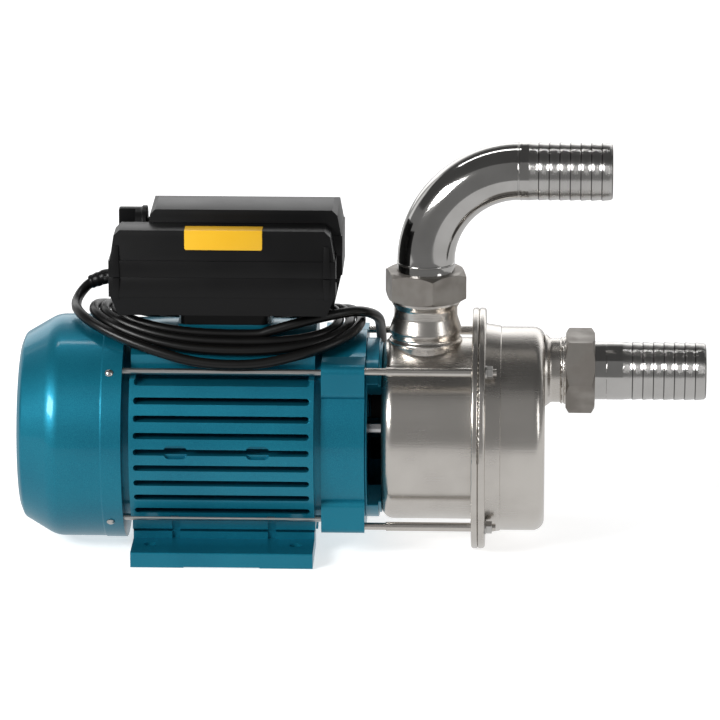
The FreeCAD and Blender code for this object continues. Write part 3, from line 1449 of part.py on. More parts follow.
motor_frame()
foot("front_foot", -1)
foot("rear_foot", 1)
foot_screws()
rear_shield()
front_shield()
pump_bracket()
motor_rods()
bearing("rear", -size("bearing_x") - size("rear_bearing_width"), size("rear_bearing_bore"),
        size("rear_bearing_outer"), size("rear_bearing_width"))
bearing("front", size("bearing_x"), size("front_bearing_bore"), size("front_bearing_outer"),
        size("front_bearing_width"))
shaft()
stator_and_rotor()
cooling_fan()
fan_cowl()
cowl_screws()
casing_body()
front_cover()
pump_clamp()
cover_ring()
shaft_seal()
impeller()
diffuser()
union_nut("inlet_union_nut", inlet_nut_x, 5.6, False)
union_nut("outlet_union_nut", size("outlet_neck_height"), 10, True)
gasket("inlet_gasket", inlet_nut_x, False)
gasket("outlet_gasket", size("outlet_neck_height"), True)
inlet_pipe()
outlet_pipe()
electrical_boxes()
inner_electrics()
rotary_knob()
cable_gland()
rating_label()
supply_cord()

doc.recompute()
faults = [item.Name for item in doc.Objects if {"Invalid", "Error"} & set(item.State)]
pieces = [item for item in doc.Objects
          if item.TypeId == "PartDesign::Body" or item.TypeId == "Part::Feature"]
for piece in pieces:
    if piece.Shape.isNull() or not piece.Shape.isValid():
        faults.append(piece.Label)
if faults:
    raise SystemExit("not built: " + ", ".join(faults))
os.makedirs("parts", exist_ok=True)
for piece in pieces:
    piece.Shape.exportStep("parts/%s.step" % piece.Label)
print(len(pieces), "pieces written")
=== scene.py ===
"""The look of the electric transfer pump, in metres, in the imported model's own frame."""

import json
import math

import bpy
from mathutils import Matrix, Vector


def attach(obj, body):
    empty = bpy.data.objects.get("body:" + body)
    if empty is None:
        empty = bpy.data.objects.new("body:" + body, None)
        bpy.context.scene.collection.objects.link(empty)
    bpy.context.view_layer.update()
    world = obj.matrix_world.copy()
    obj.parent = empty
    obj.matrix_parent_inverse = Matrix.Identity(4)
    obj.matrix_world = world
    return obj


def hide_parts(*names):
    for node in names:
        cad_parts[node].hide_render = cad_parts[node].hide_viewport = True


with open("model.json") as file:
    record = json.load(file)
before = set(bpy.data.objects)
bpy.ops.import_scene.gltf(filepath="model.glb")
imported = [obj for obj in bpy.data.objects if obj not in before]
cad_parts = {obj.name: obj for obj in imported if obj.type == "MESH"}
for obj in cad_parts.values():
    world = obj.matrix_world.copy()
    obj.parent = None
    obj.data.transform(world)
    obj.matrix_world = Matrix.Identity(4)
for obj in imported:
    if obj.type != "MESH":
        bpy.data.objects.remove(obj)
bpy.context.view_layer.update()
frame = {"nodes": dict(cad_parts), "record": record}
nodes = frame["nodes"]
SHAFT_Z = 0.080


# Camera, at the photograph's viewing angle

AIM = Vector((0.0924, 0.0, 0.128))
SIDE_TURN = math.radians(1.9)
RISE = math.radians(15.5)
DISTANCE = 3.8
back = Vector((math.sin(SIDE_TURN) * math.cos(RISE), -math.cos(SIDE_TURN) * math.cos(RISE),
               math.sin(RISE)))
camera = bpy.data.objects.new("studio_camera", bpy.data.cameras.new("studio_camera"))
bpy.context.scene.collection.objects.link(camera)
camera.location = AIM + back * DISTANCE
camera.rotation_euler = (-back).to_track_quat("-Z", "Y").to_euler()
camera.data.lens = 275
camera.data.sensor_width = 36
camera.data.clip_start = 0.1
camera.data.clip_end = 60
bpy.context.scene.camera = camera


# Hand tools

WELD_GAP = 0.000002


def alone(piece):
    """Only this object selected, and active."""
    bpy.ops.object.select_all(action="DESELECT")
    piece.select_set(True)
    bpy.context.view_layer.objects.active = piece
    return piece


def open_edit(piece, choice="DESELECT"):
    alone(piece)
    bpy.ops.object.mode_set(mode="EDIT")
    bpy.ops.mesh.select_all(action=choice)


def close_edit():
    bpy.ops.object.mode_set(mode="OBJECT")


def pick(piece, kind, test):
    """Select the faces that pass a test on centre and normal, or the edges on middle and direction."""
    bpy.ops.mesh.select_all(action="DESELECT")
    bpy.ops.mesh.select_mode(type=kind)
    bpy.ops.object.mode_set(mode="OBJECT")
    mesh = piece.data
    if kind == "FACE":
        for face in mesh.polygons:
            face.select = test(face.center, face.normal)
    else:
        for edge in mesh.edges:
            a, b = [mesh.vertices[i].co for i in edge.vertices]
            edge.select = test((a + b) / 2, (b - a).normalized())
    bpy.ops.object.mode_set(mode="EDIT")


def settle(piece):
    """Put the place, turn and size of an object into its mesh."""
    alone(piece)
    bpy.ops.object.transform_apply(location=True, rotation=True, scale=True)
    return piece


def modify(piece, kind, **settings):
    """Add a modifier and apply it."""
    alone(piece)
    made = piece.modifiers.new(kind.lower(), kind)
    for word, value in settings.items():
        setattr(made, word, value)
    bpy.ops.object.modifier_apply(modifier=made.name)
    return piece


def soften(piece, width, segments=2, angle=30):
    """Round the sharp edges a little and shade the rest smooth."""
    modify(piece, "BEVEL", width=width, segments=segments, limit_method="ANGLE",
           angle_limit=math.radians(angle), harden_normals=False)
    alone(piece)
    bpy.ops.object.shade_smooth_by_angle(angle=math.radians(angle))
    return piece


def block(name, low, high):
    """A box between two corners, to be shaped further."""
    middle = (Vector(low) + Vector(high)) / 2
    bpy.ops.object.select_all(action="DESELECT")
    bpy.ops.mesh.primitive_cube_add(size=1, location=middle)
    piece = bpy.context.object
    piece.name = piece.data.name = name
    piece.scale = Vector(high) - Vector(low)
    return settle(piece)


def rod(name, start, end, radius, vertices=48):
    """A round bar between two points, to be shaped further."""
    start, end = Vector(start), Vector(end)
    bpy.ops.object.select_all(action="DESELECT")
    bpy.ops.mesh.primitive_cylinder_add(radius=radius, depth=(end - start).length, vertices=vertices,
                                        location=(start + end) / 2)
    piece = bpy.context.object
    piece.name = piece.data.name = name
    piece.rotation_mode = "QUATERNION"
    piece.rotation_quaternion = (end - start).to_track_quat("Z", "Y")
    return settle(piece)


def join(name, pieces):
    """Several meshes as one piece."""
    alone(pieces[0])
    for piece in pieces[1:]:
        piece.select_set(True)
    bpy.ops.object.join()
    pieces[0].name = pieces[0].data.name = name
    return pieces[0]


def welded(node, name, width=0.0003, angle=30):
    """A merged copy of a CAD node in quads, with softened edges, which stands for it."""
    source = nodes[node]
    piece = bpy.data.objects.new(name, source.data.copy())
    bpy.context.scene.collection.objects.link(piece)
    open_edit(piece, "SELECT")
    bpy.ops.mesh.remove_doubles(threshold=WELD_GAP)
    bpy.ops.mesh.tris_convert_to_quads(face_threshold=math.radians(2), shape_threshold=math.radians(180))
    close_edit()
    if width:
        soften(piece, width, 2, angle)
    else:
        bpy.ops.object.shade_smooth_by_angle(angle=math.radians(angle))
    modify(piece, "WEIGHTED_NORMAL", mode="FACE_AREA", weight=80, keep_sharp=True)
    return stand_for(piece, node)


def stand_for(piece, *replaced):
    """The piece rides with the CAD nodes that it replaces, in their finish."""
    record = {part["node"]: part["material_slot"] for part in frame["record"]["subparts"]}
    bodies = frame["record"]["behaviour"]["bodies"]
    body = [name for name, members in bodies.items() if replaced[0] in members][0]
    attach(piece, body)
    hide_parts(*replaced)
    return wear(piece, record[replaced[0]])


# Materials

class Tone:
    """A number inside a material. Arithmetic on it adds Math nodes."""

    def __init__(self, finish, socket):
        self.finish = finish
        self.socket = socket

    def made(self, operation, first, second):
        return self.finish.node("Math", {"operation": operation}, {0: first, 1: second})

    def __add__(self, other):
        return self.made("ADD", self, other)

    def __radd__(self, other):
        return self.made("ADD", other, self)

    def __sub__(self, other):
        return self.made("SUBTRACT", self, other)

    def __rsub__(self, other):
        return self.made("SUBTRACT", other, self)

    def __mul__(self, other):
        return self.made("MULTIPLY", self, other)

    def __rmul__(self, other):
        return self.made("MULTIPLY", other, self)

    def __truediv__(self, other):
        return self.made("DIVIDE", self, other)


class Finish:
    """A material on the principled shader, with its even values set on the shader's sockets."""

    def __init__(self, name, even):
        self.material = bpy.data.materials.new(name)
        self.material.use_nodes = True
        self.tree = self.material.node_tree
        self.shader = self.tree.nodes["Principled BSDF"]
        for socket, value in even.items():
            self.shader.inputs[socket].default_value = value
        self.spot = self.node("TexCoord", {}, {}, "Object")

    def node(self, kind, settings, values, output=0):
        """One node of a type, with its settings, then the values or links of its sockets."""
        made = self.tree.nodes.new("ShaderNode" + kind)
        for word, value in settings.items():
            if word == "stops":
                ramp = made.color_ramp.elements
                while len(ramp) < len(value):
                    ramp.new(0.5)
                for stop, (position, colour) in zip(ramp, value):
                    stop.position, stop.color = position, colour
            else:
                setattr(made, word, value)
        for socket, value in values.items():
            self.feed(made.inputs[socket], value)
        return Tone(self, made.outputs[output])

    def feed(self, socket, value):
        if isinstance(value, Tone):
            self.tree.links.new(value.socket, socket)
        else:
            socket.default_value = value

    def grain(self, scale, detail=2.0, stretch=(1, 1, 1), rough=0.5):
        """Noise over the object, finer in the stretched directions."""
        spot = self.node("Mapping", {}, {"Vector": self.spot, "Scale": stretch})
        return self.node("TexNoise", {}, {"Vector": spot, "Scale": scale, "Detail": detail,
                                          "Roughness": rough})

    def band(self, tone, low, high):
        """0 below low, 1 above high, and smooth between."""
        return self.node("MapRange", {"interpolation_type": "SMOOTHSTEP"},
                         {"Value": tone, "From Min": low, "From Max": high})

    def blend(self, share, first, second):
        """A colour between two colours."""
        return self.node("Mix", {"data_type": "RGBA"}, {0: share, 6: first, 7: second}, 2)

    def coat(self, **values):
        """Feed what varies over the surface into the shader."""
        for word, value in values.items():
            self.feed(self.shader.inputs[word.replace("_", " ").title()], value)

    def relief(self, height, depth, strength=1.0):
        """Bumps of a given depth in metres."""
        bump = self.node("Bump", {}, {"Height": height, "Distance": depth, "Strength": strength})
        self.feed(self.shader.inputs["Normal"], bump)


def rgb(red, green, blue):
    return (red, green, blue, 1.0)


def teal_paint():
    f = Finish("teal_flake_paint", {"Metallic": 0.62, "Coat Roughness": 0.11, "IOR": 1.45,
                                    "Specular IOR Level": 0.3})
    flake = f.band(f.grain(2600, 1.0), 0.35, 0.75)
    cloud = f.grain(14, 2.0)
    deep = f.blend(f.band(cloud, 0.3, 0.7), rgb(0.003, 0.150, 0.240), rgb(0.004, 0.180, 0.275))
    f.coat(Base_Color=f.blend(flake * 0.30, deep, rgb(0.03, 0.42, 0.55)),
           Roughness=0.36 + f.grain(60, 2.0) * 0.08, Coat_Weight=0.27 + cloud * 0.2)
    f.relief(f.grain(420, 1.0) + flake * 0.4, 0.00004, 0.5)
    return f.material


def satin_stainless():
    """Sheet brushed along the shaft."""
    f = Finish("satin_stainless", {"Metallic": 1.0})
    lines = f.grain(1100, 3.0, (0.03, 1.0, 1.0))
    cloud = f.grain(26, 3.0)
    f.coat(Base_Color=f.blend(f.band(cloud, 0.3, 0.75), rgb(0.66, 0.63, 0.59), rgb(0.58, 0.55, 0.515)),
           Roughness=0.20 + lines * 0.08 + f.band(cloud, 0.4, 0.8) * 0.05)
    f.relief(lines, 0.00006, 0.6)
    return f.material


# The barbs' pitch, the share of it that painted shade darkens at the drop of each barb, and where the barbs
# start on each tube
BARB_PITCH = 0.0072
BARB_STEP_SHADE = (0.86, 0.93)
ELBOW_BARBS = 0.2078
TAIL_BARBS = 0.2735


def bright_tube(name, barbs_start):
    """Polished tube that is turned, with fine rings, from where its barbs start, and with painted shade at
    the drop of each barb.
    """
    f = Finish(name, {"Metallic": 1.0})
    cloud = f.grain(40, 3.0)
    place = f.node("SeparateXYZ", {}, {"Vector": f.spot})
    barbed = f.band(place, barbs_start, barbs_start + 0.0004)
    along = f.node("Math", {"operation": "FRACT"}, {0: (place - barbs_start) / BARB_PITCH})
    # Painted shade: the base colour turns dark at the drop of each barb
    step_shade = f.band(along, *BARB_STEP_SHADE) * barbed
    rings = f.node("TexWave", {"wave_type": "BANDS", "bands_direction": "X"},
                   {"Vector": f.spot, "Scale": 900.0, "Distortion": 1.0, "Detail": 1.0})
    steel = f.blend(f.band(cloud, 0.3, 0.75), rgb(0.54, 0.53, 0.515), rgb(0.47, 0.46, 0.445))
    f.coat(Base_Color=f.blend(step_shade, steel, rgb(0.13, 0.125, 0.12)),
           Roughness=0.07 + cloud * 0.05 + barbed * 0.08)
    f.relief(rings * barbed, 0.00005, 0.8)
    return f.material


def blasted_stainless():
    f = Finish("blasted_stainless", {"Metallic": 1.0})
    pits = f.grain(1500, 3.0)
    rub = f.band(f.grain(60, 2.0), 0.35, 0.7)
    f.coat(Base_Color=f.blend(rub, rgb(0.25, 0.23, 0.21), rgb(0.33, 0.31, 0.285)),
           Roughness=0.46 - rub * 0.10 + pits * 0.08)
    f.relief(pits, 0.00008, 0.7)
    return f.material


def plated(name, tint, low):
    f = Finish(name, {"Metallic": 1.0})
    haze = f.grain(180, 3.0)
    f.coat(Base_Color=f.blend(haze, rgb(*tint), rgb(*[v * 0.8 for v in tint])), Roughness=low + haze * 0.10)
    return f.material


def moulded(name, tint, low, depth=0.00003, sheen=0.5):
    f = Finish(name, {"Specular IOR Level": sheen})
    pebble = f.grain(1600, 2.0)
    cloud = f.grain(35, 3.0)
    f.coat(Base_Color=f.blend(cloud, rgb(*tint), rgb(*[v * 1.5 + 0.002 for v in tint])),
           Roughness=low + cloud * 0.10 + pebble * 0.05)
    f.relief(pebble, depth, 0.6)
    return f.material


def wound_copper():
    f = Finish("wound_copper", {"Metallic": 0.85, "Coat Weight": 0.4})
    wires = f.node("TexWave", {"wave_type": "RINGS", "rings_direction": "X"},
                   {"Vector": f.spot, "Scale": 420.0, "Distortion": 1.2, "Detail": 1.0})
    f.coat(Base_Color=f.blend(wires, rgb(0.30, 0.10, 0.035), rgb(0.62, 0.28, 0.12)),
           Roughness=0.3 + wires * 0.15)
    f.relief(wires, 0.0003, 0.8)
    return f.material


def stacked_steel():
    f = Finish("stacked_steel", {"Metallic": 0.8})
    sheets = f.node("TexWave", {"wave_type": "BANDS", "bands_direction": "X"},
                    {"Vector": f.spot, "Scale": 320.0, "Distortion": 0.2})
    f.coat(Base_Color=f.blend(sheets, rgb(0.16, 0.16, 0.17), rgb(0.34, 0.34, 0.36)),
           Roughness=0.5 - sheets * 0.1)
    f.relief(sheets, 0.0001, 0.6)
    return f.material


def blank_film():
    f = Finish("blank_yellow_film", {"Coat Weight": 0.3, "Coat Roughness": 0.25})
    cloud = f.grain(90, 3.0)
    f.coat(Base_Color=f.blend(cloud, rgb(0.98, 0.53, 0.006), rgb(1.0, 0.57, 0.010)),
           Roughness=0.38 + cloud * 0.1)
    f.relief(f.grain(700, 2.0), 0.00001, 0.4)
    return f.material


finishes = {
    "teal_paint": teal_paint(),
    "zinc_steel": plated("bright_zinc", (0.62, 0.61, 0.59), 0.26),
    "stainless": satin_stainless(),
    "polished_pipe": bright_tube("polished_elbow", ELBOW_BARBS),
    "cast_stainless": blasted_stainless(),
    "bearing_steel": plated("ground_steel", (0.62, 0.62, 0.63), 0.12),
    "laminations": stacked_steel(),
    "copper": wound_copper(),
    "black_plastic": moulded("black_plastic", (0.0024, 0.0024, 0.0026), 0.32, 0.00003, 0.26),
    "seal_rubber": moulded("seal_rubber", (0.018, 0.018, 0.018), 0.55),
    "cord_rubber": moulded("cord_sheath", (0.0024, 0.0023, 0.0022), 0.27, 0.00002, 0.38),
    "seal_ceramic": moulded("seal_ceramic", (0.62, 0.58, 0.50), 0.22, 0.00001),
    "white_plastic": moulded("white_plastic", (0.62, 0.61, 0.57), 0.40),
    "label_yellow": blank_film(),
}


def wear(piece, slot):
    """Give a piece the finish of one of the record's slots."""
    piece.data.materials.clear()
    piece.data.materials.append(finishes[slot])
    return piece


for part in frame["record"]["subparts"]:
    node = nodes[part["node"]]
    node.data.materials.clear()
    node.data.materials.append(finishes[part["material_slot"]])


# Supply cord: out of the gland, about three and a third loose turns on the motor,
# then over the bracket and down behind it

CORD_RADIUS = 0.0035
TURN_LEFT = (-0.1030, -0.0920, -0.0845, -0.0765)
TURN_FRONT = (-0.0515, -0.0440, -0.0368, -0.0290)
TURN_RIGHT = (0.0940, 0.0865, 0.0785)
TURN_BACK = (0.0540, 0.0460, 0.0380)
TURN_MIDDLE = 0.006
FIRST_DEGREES, LAST_DEGREES, STEP_DEGREES = 188, 360 * 3 + 278, 18
# How far from the shaft's axis the cord lies in front, behind, over the cowl and over the bracket
LIE_FRONT, LIE_BACK, LIE_COWL, LIE_BRACKET = 0.0789, 0.0795, 0.0845, 0.0765
LEAD = [(-0.07428, 0.0250, 0.1800), (-0.0850, 0.0254, 0.1795), (-0.0960, 0.0245, 0.1755),
        (-0.1025, 0.0180, 0.1690), (-0.1045, 0.0080, 0.1648)]
TAIL = [(0.030, -0.0288, 0.1555), (0.052, -0.0280, 0.1620), (0.072, -0.022, 0.1655), (0.092, -0.008, 0.166),
        (0.105, 0.012, 0.157), (0.106, 0.039, 0.141), (0.106, 0.063, 0.116), (0.106, 0.079, 0.085),
        (0.104, 0.092, 0.054), (0.097, 0.101, 0.025), (0.080, 0.108, 0.006), (0.058, 0.110, 0.005),
        (0.038, 0.106, 0.018), (0.022, 0.106, 0.018)]


def part_way(values, turn):
    """A size that changes evenly from one turn to the next."""
    low = max(0, min(len(values) - 2, int(math.floor(turn))))
    share = max(0.0, min(1.0, turn - low))
    return values[low] * (1 - share) + values[low + 1] * share


def turns():
    """The loose turns' points, laid over the motor's round top, each turn inside the one before."""
    points = []
    for degrees in range(FIRST_DEGREES, LAST_DEGREES + 1, STEP_DEGREES):
        turn = (degrees - 180) / 360
        across, forward = math.cos(math.radians(degrees)), math.sin(math.radians(degrees))
        bulge = 0.88 - 0.055 * min(3, max(0, turn - 0.3))
        side = part_way(TURN_RIGHT, turn - 0.5) if across > 0 else -part_way(TURN_LEFT, turn)
        reach = side - TURN_MIDDLE if across > 0 else side + TURN_MIDDLE
        x = TURN_MIDDLE + reach * math.copysign(abs(across) ** bulge, across)
        depth = part_way(TURN_BACK, turn - 0.75) if forward > 0 else -part_way(TURN_FRONT, turn - 0.25)
        y = depth * math.copysign(abs(forward) ** bulge, forward)
        lie = LIE_FRONT if forward <= 0 else LIE_BACK
        if forward < 0:
            lie -= 0.0022 * max(0.0, min(1.0, (abs(y) - 0.046) / 0.005))
        radius = lie + (LIE_COWL - lie) * min(1, max(0.0, -across) ** 1.5 * 1.25)
        if across > 0:
            end = LIE_BRACKET + 0.007 * max(0.0, min(1, (forward - 0.1) / 0.4))
            radius = lie + (end - lie) * min(1, across ** 1.5 * 1.3)
        points.append((x, y, SHAFT_Z + math.sqrt(radius ** 2 - y ** 2)))
    return points


line = bpy.data.curves.new("supply_cord", "CURVE")
line.dimensions = "3D"
run = line.splines.new("NURBS")
route = LEAD + turns() + TAIL
run.points.add(len(route) - 1)
for spot, place in zip(run.points, route):
    spot.co = (*place, 1.0)
run.order_u = 3
run.use_endpoint_u = True
line.bevel_depth = CORD_RADIUS
line.bevel_resolution = 5
line.resolution_u = 8
line.use_fill_caps = True
cord = bpy.data.objects.new("supply_cord", line)
bpy.context.scene.collection.objects.link(cord)
cord.data.materials.append(finishes["cord_rubber"])
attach(cord, "motor")
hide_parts("cord_lead", "cord_coil", "cord_tail")


# Floor, light and background

def studio_floor():
    """A pale floor that takes the object's shadow and is white where it is seen or mirrored."""
    bpy.ops.object.select_all(action="DESELECT")
    bpy.ops.mesh.primitive_plane_add(size=14, location=(0.1, 6.4, -0.0002))
    floor = bpy.context.object
    floor.name = "studio_floor"
    f = Finish("pale_floor", {"Base Color": rgb(0.80, 0.80, 0.80), "Roughness": 0.7,
                              "Emission Color": rgb(1, 1, 1), "Emission Strength": 0.60})
    path = f.tree.nodes.new("ShaderNodeLightPath").outputs
    plain = f.tree.nodes.new("ShaderNodeEmission")
    plain.inputs["Color"].default_value = rgb(0.70, 0.69, 0.67)
    seen = (Tone(f, path["Is Camera Ray"]) + Tone(f, path["Is Glossy Ray"])
            + Tone(f, path["Is Transmission Ray"]))
    mixed = f.node("MixShader", {}, {0: seen})
    f.tree.links.new(plain.outputs[0], mixed.socket.node.inputs[1])
    f.tree.links.new(f.shader.outputs[0], mixed.socket.node.inputs[2])
    f.tree.links.new(mixed.socket, f.tree.nodes["Material Output"].inputs["Surface"])
    floor.data.materials.append(f.material)


def grey_card(name, low, high, level):
    """A grey card that only reflections see, for the darker tones in the bright metal."""
    piece = block(name, low, high)
    f = Finish("card_" + name, {"Base Color": rgb(0, 0, 0), "Roughness": 1.0, "Emission Color": rgb(1, 1, 1),
                                "Emission Strength": level, "Specular IOR Level": 0.0})
    piece.data.materials.append(f.material)
    piece.visible_camera = piece.visible_diffuse = piece.visible_shadow = piece.visible_transmission = False


def softbox(name, place, aim, width, height, power):
    light = bpy.data.lights.new(name, "AREA")
    light.shape = "RECTANGLE"
    light.size, light.size_y, light.energy = width, height, power
    box = bpy.data.objects.new(name, light)
    bpy.context.scene.collection.objects.link(box)
    box.location = place
    box.rotation_euler = (Vector(aim) - Vector(place)).to_track_quat("-Z", "Y").to_euler()


studio_floor()
grey_card("ceiling_card", (-2.0, -0.62, 0.95), (2.2, 0.72, 0.96), 0.085)
grey_card("front_card", (-3.2, -2.95, -1.4), (3.4, -2.93, 5.0), 0.235)
grey_card("left_card", (-3.2, -2.92, -1.4), (-3.18, 1.6, 5.0), 0.235)
grey_card("right_card", (3.38, -2.92, -1.4), (3.4, 1.6, 5.0), 0.235)
grey_card("back_card", (-3.2, 2.95, -1.4), (3.4, 2.97, 5.0), 0.40)
grey_card("floor_card", (-4.0, -0.6, -0.00018), (4.2, 3.0, -0.00010), 0.70)
softbox("top_softbox", (-0.1, 0.24, 0.90), (-0.1, 0.0, 0.1), 0.50, 0.05, 0.7)
softbox("key_softbox", (-1.9, -2.0, 1.55), (0.1, 0.0, 0.12), 1.3, 0.9, 80)
softbox("right_softbox", (2.3, -1.5, 0.9), (0.1, 0.0, 0.12), 0.7, 1.3, 8)
softbox("back_softbox", (0.1, 2.4, 1.0), (0.1, 0.0, 0.2), 4.0, 1.3, 23)
world = bpy.data.worlds.new("studio_world")
bpy.context.scene.world = world
world.use_nodes = True
wires = world.node_tree
room = wires.nodes["Background"]
room.inputs["Color"].default_value = rgb(1, 1, 1)
room.inputs["Strength"].default_value = 0.235
white = wires.nodes.new("ShaderNodeBackground")
white.inputs["Color"].default_value = rgb(1, 1, 1)
rays = wires.nodes.new("ShaderNodeLightPath").outputs
shown = wires.nodes.new("ShaderNodeMixShader")
seen = rays["Is Camera Ray"]
for ray in ("Is Glossy Ray", "Is Transmission Ray"):
    either = wires.nodes.new("ShaderNodeMath")
    either.operation = "MAXIMUM"
    wires.links.new(seen, either.inputs[0])
    wires.links.new(rays[ray], either.inputs[1])
    seen = either.outputs[0]
wires.links.new(seen, shown.inputs[0])
wires.links.new(room.outputs[0], shown.inputs[1])
wires.links.new(white.outputs[0], shown.inputs[2])
wires.links.new(shown.outputs[0], wires.nodes["World Output"].inputs["Surface"])
bpy.context.scene.view_settings.view_transform = "Standard"


# Moulded boxes: a rim band at the parting face, then walls drawn in to the far face

BOX_WALL = 0.002
FRONT_SIDES, FRONT_DEPTH = (-0.077, 0.076), (-0.038, -0.0141)
REAR_SIDES, REAR_DEPTH = (-0.0535, 0.080), (-0.0140, 0.040)
REAR_LID_TOP = 0.2376
REAR_LID_SLOPE = 0.0145
SWITCH_HOLE_RADIUS = 0.0041
CLIP_FRONT, CLIP_BACK, CLIP_HALF_WIDTH = -0.0404, -0.0372, 0.0024
CLIP_LEFT, CLIP_RIGHT = -0.0730, 0.0708
PIN_Y, PIN_Z, PIN_RADIUS = -0.0352, 0.1938, 0.0013


def box_shell(name, sides, depth, heights, out, draw, corner):
    """One open half of a box. Its heights are the parting face, the rim band's edge and the far face."""
    (left, right), (front, rear) = sides, depth
    parting, rim, far = heights
    up = 1 if far > parting else -1
    piece = block(name, (left - out, front - out, min(parting, rim)), (right + out, rear, max(parting, rim)))
    wide, deep = right - left, rear - front
    share = (deep - 0.0002) / (deep + out)
    middle = ((left + right) / 2, (front - share * (front - out)) / (1 - share), rim)
    open_edit(piece)
    pick(piece, "FACE", lambda place, normal: normal.z * up > 0.9)
    bpy.ops.mesh.extrude_region_move()
    bpy.ops.transform.resize(value=(wide / (wide + 2 * out), share, 1), center_override=middle)
    bpy.ops.mesh.extrude_region_move(TRANSFORM_OT_translate={"value": (0, 0, far - rim - up * corner)})
    bpy.ops.transform.resize(value=((wide - 2 * draw) / wide, 1, 1), center_override=middle)
    if corner:
        bpy.ops.mesh.extrude_region_move(TRANSFORM_OT_translate={"value": (0, 0, up * corner)})
        bpy.ops.transform.resize(value=((wide - 2 * draw - 2 * corner) / (wide - 2 * draw), 1, 1),
                                 center_override=middle)
    pick(piece, "FACE", lambda place, normal: normal.z * up < -0.9 and abs(place.z - parting) < 0.0001)
    bpy.ops.mesh.delete(type="FACE")
    close_edit()
    return piece


def thicken(piece):
    """Walls of an even thickness inside the outer form."""
    return modify(piece, "SOLIDIFY", thickness=BOX_WALL, offset=-1, use_even_offset=True)


def bored(piece, start, end, radius):
    """A round hole through a wall."""
    drill = rod("drill", start, end, radius, 40)
    modify(piece, "BOOLEAN", operation="DIFFERENCE", object=drill, solver="EXACT")
    bpy.data.objects.remove(drill)
    return piece


def clip(name, x, low, high, lean):
    """A snap clip that stands on the front of a box half, thinner at one end."""
    piece = block(name, (x - CLIP_HALF_WIDTH, CLIP_FRONT, low), (x + CLIP_HALF_WIDTH, CLIP_BACK, high))
    open_edit(piece)
    pick(piece, "FACE", lambda place, normal: normal.z * lean > 0.9)
    bpy.ops.transform.resize(value=(0.75, 0.5, 1), center_override=(x, CLIP_BACK, high if lean > 0 else low))
    close_edit()
    return piece


def hinge_pin(name, start, end):
    """A short pin at the end of the parting line."""
    return rod(name, (start, PIN_Y, PIN_Z), (end, PIN_Y, PIN_Z), PIN_RADIUS, 20)


lid = thicken(box_shell("front_box_lid_finished", FRONT_SIDES, FRONT_DEPTH, (0.1959, 0.2075, 0.2287),
                        out=0.0010, draw=0.0026, corner=0.0040))
lid = join("front_box_lid_finished", [lid, clip("lid_clip_left", CLIP_LEFT, 0.1962, 0.2180, 1),
                                      clip("lid_clip_right", CLIP_RIGHT, 0.1962, 0.2180, 1)])
stand_for(soften(lid, 0.0007, 3), "front_box_lid")
base = thicken(box_shell("front_box_base_finished", FRONT_SIDES, FRONT_DEPTH, (0.1958, 0.1820, 0.1690),
                         out=0.0010, draw=0.0052, corner=0))
base = join("front_box_base_finished", [base, clip("base_clip_left", CLIP_LEFT, 0.1800, 0.1955, -1),
                                        clip("base_clip_right", CLIP_RIGHT, 0.1800, 0.1955, -1),
                                        hinge_pin("pin_left", -0.0812, -0.0772),
                                        hinge_pin("pin_right", 0.0762, 0.0796)])
stand_for(soften(base, 0.0005, 2), "front_box_base")
cap = box_shell("rear_box_lid_finished", REAR_SIDES, REAR_DEPTH, (0.2061, 0.2200, REAR_LID_TOP),
                out=0.0008, draw=0.0026, corner=0.0036)
open_edit(cap)
pick(cap, "EDGE", lambda place, along: (abs(place.z - REAR_LID_TOP) < 0.0001 and place.y > 0.039
                                        and abs(along.x) > 0.9))
bpy.ops.mesh.bevel(offset=REAR_LID_SLOPE, segments=1, affect="EDGES")
close_edit()
cap = bored(thicken(cap), (-0.060, 0.013, 0.2215), (-0.045, 0.013, 0.2215), SWITCH_HOLE_RADIUS)
stand_for(soften(cap, 0.0007, 3), "rear_box_lid")


# Blank label, bent over the lid's front edge

label = block("blank_label_finished", (-0.026, -0.0383, 0.2152), (0.027, -0.0380, 0.2287))
open_edit(label)
pick(label, "EDGE", lambda place, along: place.z < 0.216 and abs(along.y) > 0.9)
bpy.ops.mesh.bevel(offset=0.0013, segments=4, affect="EDGES")
pick(label, "FACE", lambda place, normal: normal.z > 0.9)
bpy.ops.mesh.extrude_region_move(TRANSFORM_OT_translate={"value": (0, 0, 0.0003)})
pick(label, "FACE", lambda place, normal: normal.y > 0.9 and place.z > 0.2287)
bpy.ops.mesh.extrude_region_move(TRANSFORM_OT_translate={"value": (0, 0.0120, 0)})
close_edit()
stand_for(soften(label, 0.0001, 2), "blank_label")


# Painted, pressed and turned pieces: welded copies with softened edges

STEPPED = ("fan_cowl", "front_cover", "casing_body", "inlet_neck", "outlet_neck")
for word, width in (("motor_frame", 0.0007), ("front_foot", 0.0008), ("rear_foot", 0.0008),
                    ("front_shield", 0.0008), ("rear_shield", 0.0003), ("fan_cowl", 0.0003),
                    ("pump_bracket", 0.0006), ("casing_body", 0.0002), ("front_cover", 0.0002),
                    ("outlet_neck", 0), ("inlet_neck", 0), ("outlet_elbow", 0),
                    ("inlet_hose_tail", 0), ("inlet_union_nut", 0.0005), ("outlet_union_nut", 0.0005),
                    ("rear_box_base", 0.0005), ("box_pedestal", 0.0005), ("switch_knob", 0.0005),
                    ("cable_gland", 0), ("gland_nut", 0.0003), ("mains_plug", 0.0006),
                    ("motor_tie_bolts", 0), ("pump_tie_rods", 0), ("rod_nuts", 0.0003),
                    ("rod_sleeves", 0), ("rod_washers", 0), ("cowl_screws", 0)):
    welded(word, word + "_finished", width, 20 if word in STEPPED else 30)


tail_finish = bright_tube("polished_tail", TAIL_BARBS)
bpy.data.objects["inlet_hose_tail_finished"].data.materials[0] = tail_finish


# Collar and weld seam of the outlet elbow

